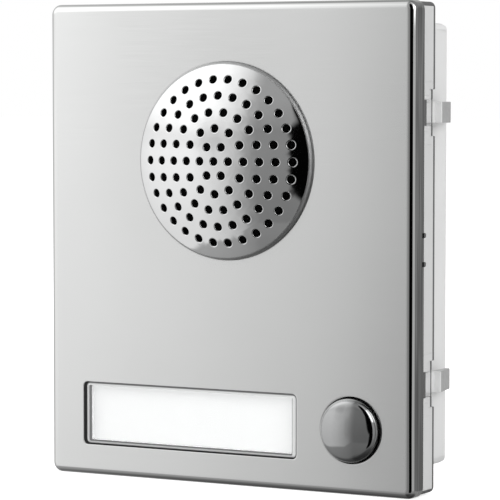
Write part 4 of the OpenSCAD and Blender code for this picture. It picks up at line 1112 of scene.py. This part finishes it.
slot_parts = bmesh.new()
mould_ribs = bmesh.new()
for side in (-1, 1):
    for level in (-hook_z, hook_z):
        # A dark pad in the front of each slot is painted shade, standing for the shadow there.
        bar(slot_parts, (side * (side_x - 0.75), shade_pad_y, level), (1.2, 1.8, slot_h - 0.1), 0.1)
        bar(slot_parts, (side * (side_x - 0.65), web_y, level), (0.2, 0.25, slot_h), 0.05)
        for step, length in ribs:
            bar(mould_ribs, (side * side_x, rib_front + length / 2, level + step), (0.2, length, 0.24), 0.06)
make_piece(slot_parts, "slot_seals", "module", seal_rubber)
make_piece(mould_ribs, "insert_ribs", "module", body_plastic)

# %% [markdown]
# ## Back of the cover
# The back is only seen when the module is out of its frame, and it is as plain as such backs are: a low collar round
# each screw and each access hole, a blank field with a raised border where a fitter may write, and the round marks
# of the pins that push the cover out of its mould.

# %% Collars, blank field and pin marks
back_y = mm_box("rear_cover")[1].y
screw_low, screw_high = mm_box("cover_screws")
head_r = 2.75
screw_collar = (3.2, 4.3)
access_collar = (3.05, 4.2)
access_places = [(-26.0, -8.0), (-12.0, -8.0)]
pin_r = 1.8
pin_places = [(x, z) for x in (-32.0, 0.0, 32.0) for z in (6.0, 40.0)]
sunk = -0.05
collar_h = 0.35
pin_h = 0.12
field_z = 23.0
field_w, field_h = 50.0, 24.0
border_w = 0.8
border_size = 0.6


def on_back(outline, x, z):
    """Spins an outline of radius and height above the back round a place on it."""
    turned_part(back_marks, [(r, back_y + rise) for r, rise in outline], Vector((x, 0, z)), 40)


def collar(x, z, inner, outer):
    """A low ring on the back with a rounded top."""
    on_back([(inner, sunk), (inner, collar_h - 0.1), (inner + 0.1, collar_h), (outer - 0.2, collar_h), (outer, 0.1),
             (outer, sunk), (inner, sunk)], x, z)


back_marks = bmesh.new()
for x in (screw_low.x + head_r, screw_high.x - head_r):
    for z in (screw_low.z + head_r, screw_high.z - head_r):
        collar(x, z, *screw_collar)
for x, z in access_places:
    collar(x, z, *access_collar)
for x, z in pin_places:
    on_back([(0, sunk), (pin_r, sunk), (pin_r, pin_h / 2), (pin_r - 0.1, pin_h), (0, pin_h)], x, z)
for side in (-1, 1):
    bar(back_marks, (side * field_w / 2, back_y, field_z), (border_w, border_size, field_h + border_w), 0.2)
    bar(back_marks, (0, back_y, field_z + side * field_h / 2), (field_w - border_w, border_size, border_w), 0.2)
bmesh.ops.recalc_face_normals(back_marks, faces=back_marks.faces)
make_piece(back_marks, "cover_marks", "module", cover_plastic)

# %% [markdown]
# ## Finishes of the pieces inside
# Behind the front sits everything that makes the module work, and each piece has the finish of what it is made of:
# thin film on the loudspeaker, zinc on the pressed steel, green resin on the board, dull black on the chips. The name
# card has painted light: the module has a light box behind it, but the card is dark grey with a glow that makes it
# evenly white, with no shade from the window's edges. These solids keep their CAD shape and get their material here.

# %% Materials of the CAD solids
# Painted light: a glow on the dark grey card stands in for the light on it and for the light box behind it.
painted_card_light = {"Emission_Color": white, "Emission_Strength": 0.60}
finishes = [
    (plated_steel, ["plate_studs", "plate_nuts", "cover_screws", "clamp_screws", "terminal_screws", "button_clip",
                    "speaker_clamps"]),
    (pole_steel, ["speaker_top_plate", "speaker_yoke"]),
    (plastic("speaker_cloth", (0.006, 0.006, 0.006), 0.95, 0.3, 1500.0, 0.05), ["grille_cloth"]),
    (plastic("blank_card", (0.20, 0.20, 0.198), 0.75, 0.02, 1800.0, 0.01, **painted_card_light), ["name_card"]),
    (plastic("light_box_white", (0.86, 0.86, 0.84), 0.5, 0.03), ["card_light_box"]),
    (plastic("led_resin", (0.80, 0.74, 0.45), 0.25, 0.05, 900.0, 0.002), ["card_leds"]),
    (plastic("black_nylon", (0.018, 0.018, 0.019), 0.48, 0.2), ["button_guide", "call_switch", "amplifier_chips"]),
    (plastic("red_nylon", (0.55, 0.03, 0.025), 0.4, 0.1), ["switch_plunger"]),
    (seal_rubber, ["microphone_boot"]),
    (plastic("grey_foam", (0.10, 0.10, 0.105), 0.9, 0.35, 1100.0, 0.2), ["speaker_gasket"]),
    (metal("zinc_passivated", (0.58, 0.58, 0.56), 0.38, 0.1, (700.0, 700.0, 700.0), 0.003), ["speaker_basket"]),
    (plastic("cone_film", (0.05, 0.05, 0.052), 0.42, 0.15, 1300.0, 0.01, Coat_Weight=0.3),
     ["speaker_surround", "speaker_cone", "dust_cap"]),
    (metal("copper_wire", (0.72, 0.34, 0.18), 0.3, 0.08, (200.0, 6000.0, 200.0), 0.01), ["voice_coil"]),
    (plastic("ferrite", (0.045, 0.043, 0.042), 0.7, 0.35, 900.0, 0.04), ["speaker_magnet"]),
    (plastic("lead_sleeve", (0.32, 0.03, 0.03), 0.45, 0.1), ["speaker_leads"]),
    (metal("capsule_can", (0.74, 0.74, 0.73), 0.25, 0.06, (900.0, 60.0, 900.0), 0.001), ["microphone"]),
    (metal("gilded_pin", (0.83, 0.62, 0.27), 0.22, 0.05, (200.0, 200.0, 200.0), 0.001), ["microphone_leads"]),
    (plastic("board_resin", (0.02, 0.16, 0.06), 0.38, 0.3, 1400.0, 0.006, Coat_Weight=0.4), ["main_board"]),
    (plastic("capacitor_sleeve", (0.03, 0.035, 0.06), 0.3, 0.1, 900.0, 0.004), ["capacitors"]),
    (plastic("resistor_lacquer", (0.55, 0.43, 0.28), 0.4, 0.15, 1600.0, 0.01), ["resistors"]),
    (plastic("trimmer_blue", (0.04, 0.12, 0.42), 0.42, 0.1), ["trimmer_bodies"]),
    (plastic("rotor_white", (0.82, 0.82, 0.78), 0.42, 0.06), ["volume_rotor", "microphone_rotor"]),
    (plastic("terminal_green", (0.05, 0.30, 0.12), 0.42, 0.1), ["terminal_block"]),
]
for material, members in finishes:
    for node in members:
        slots = bpy.data.objects[node].data.materials
        slots.clear()
        slots.append(material)
print("finished CAD solids:", sum(len(members) for material, members in finishes))
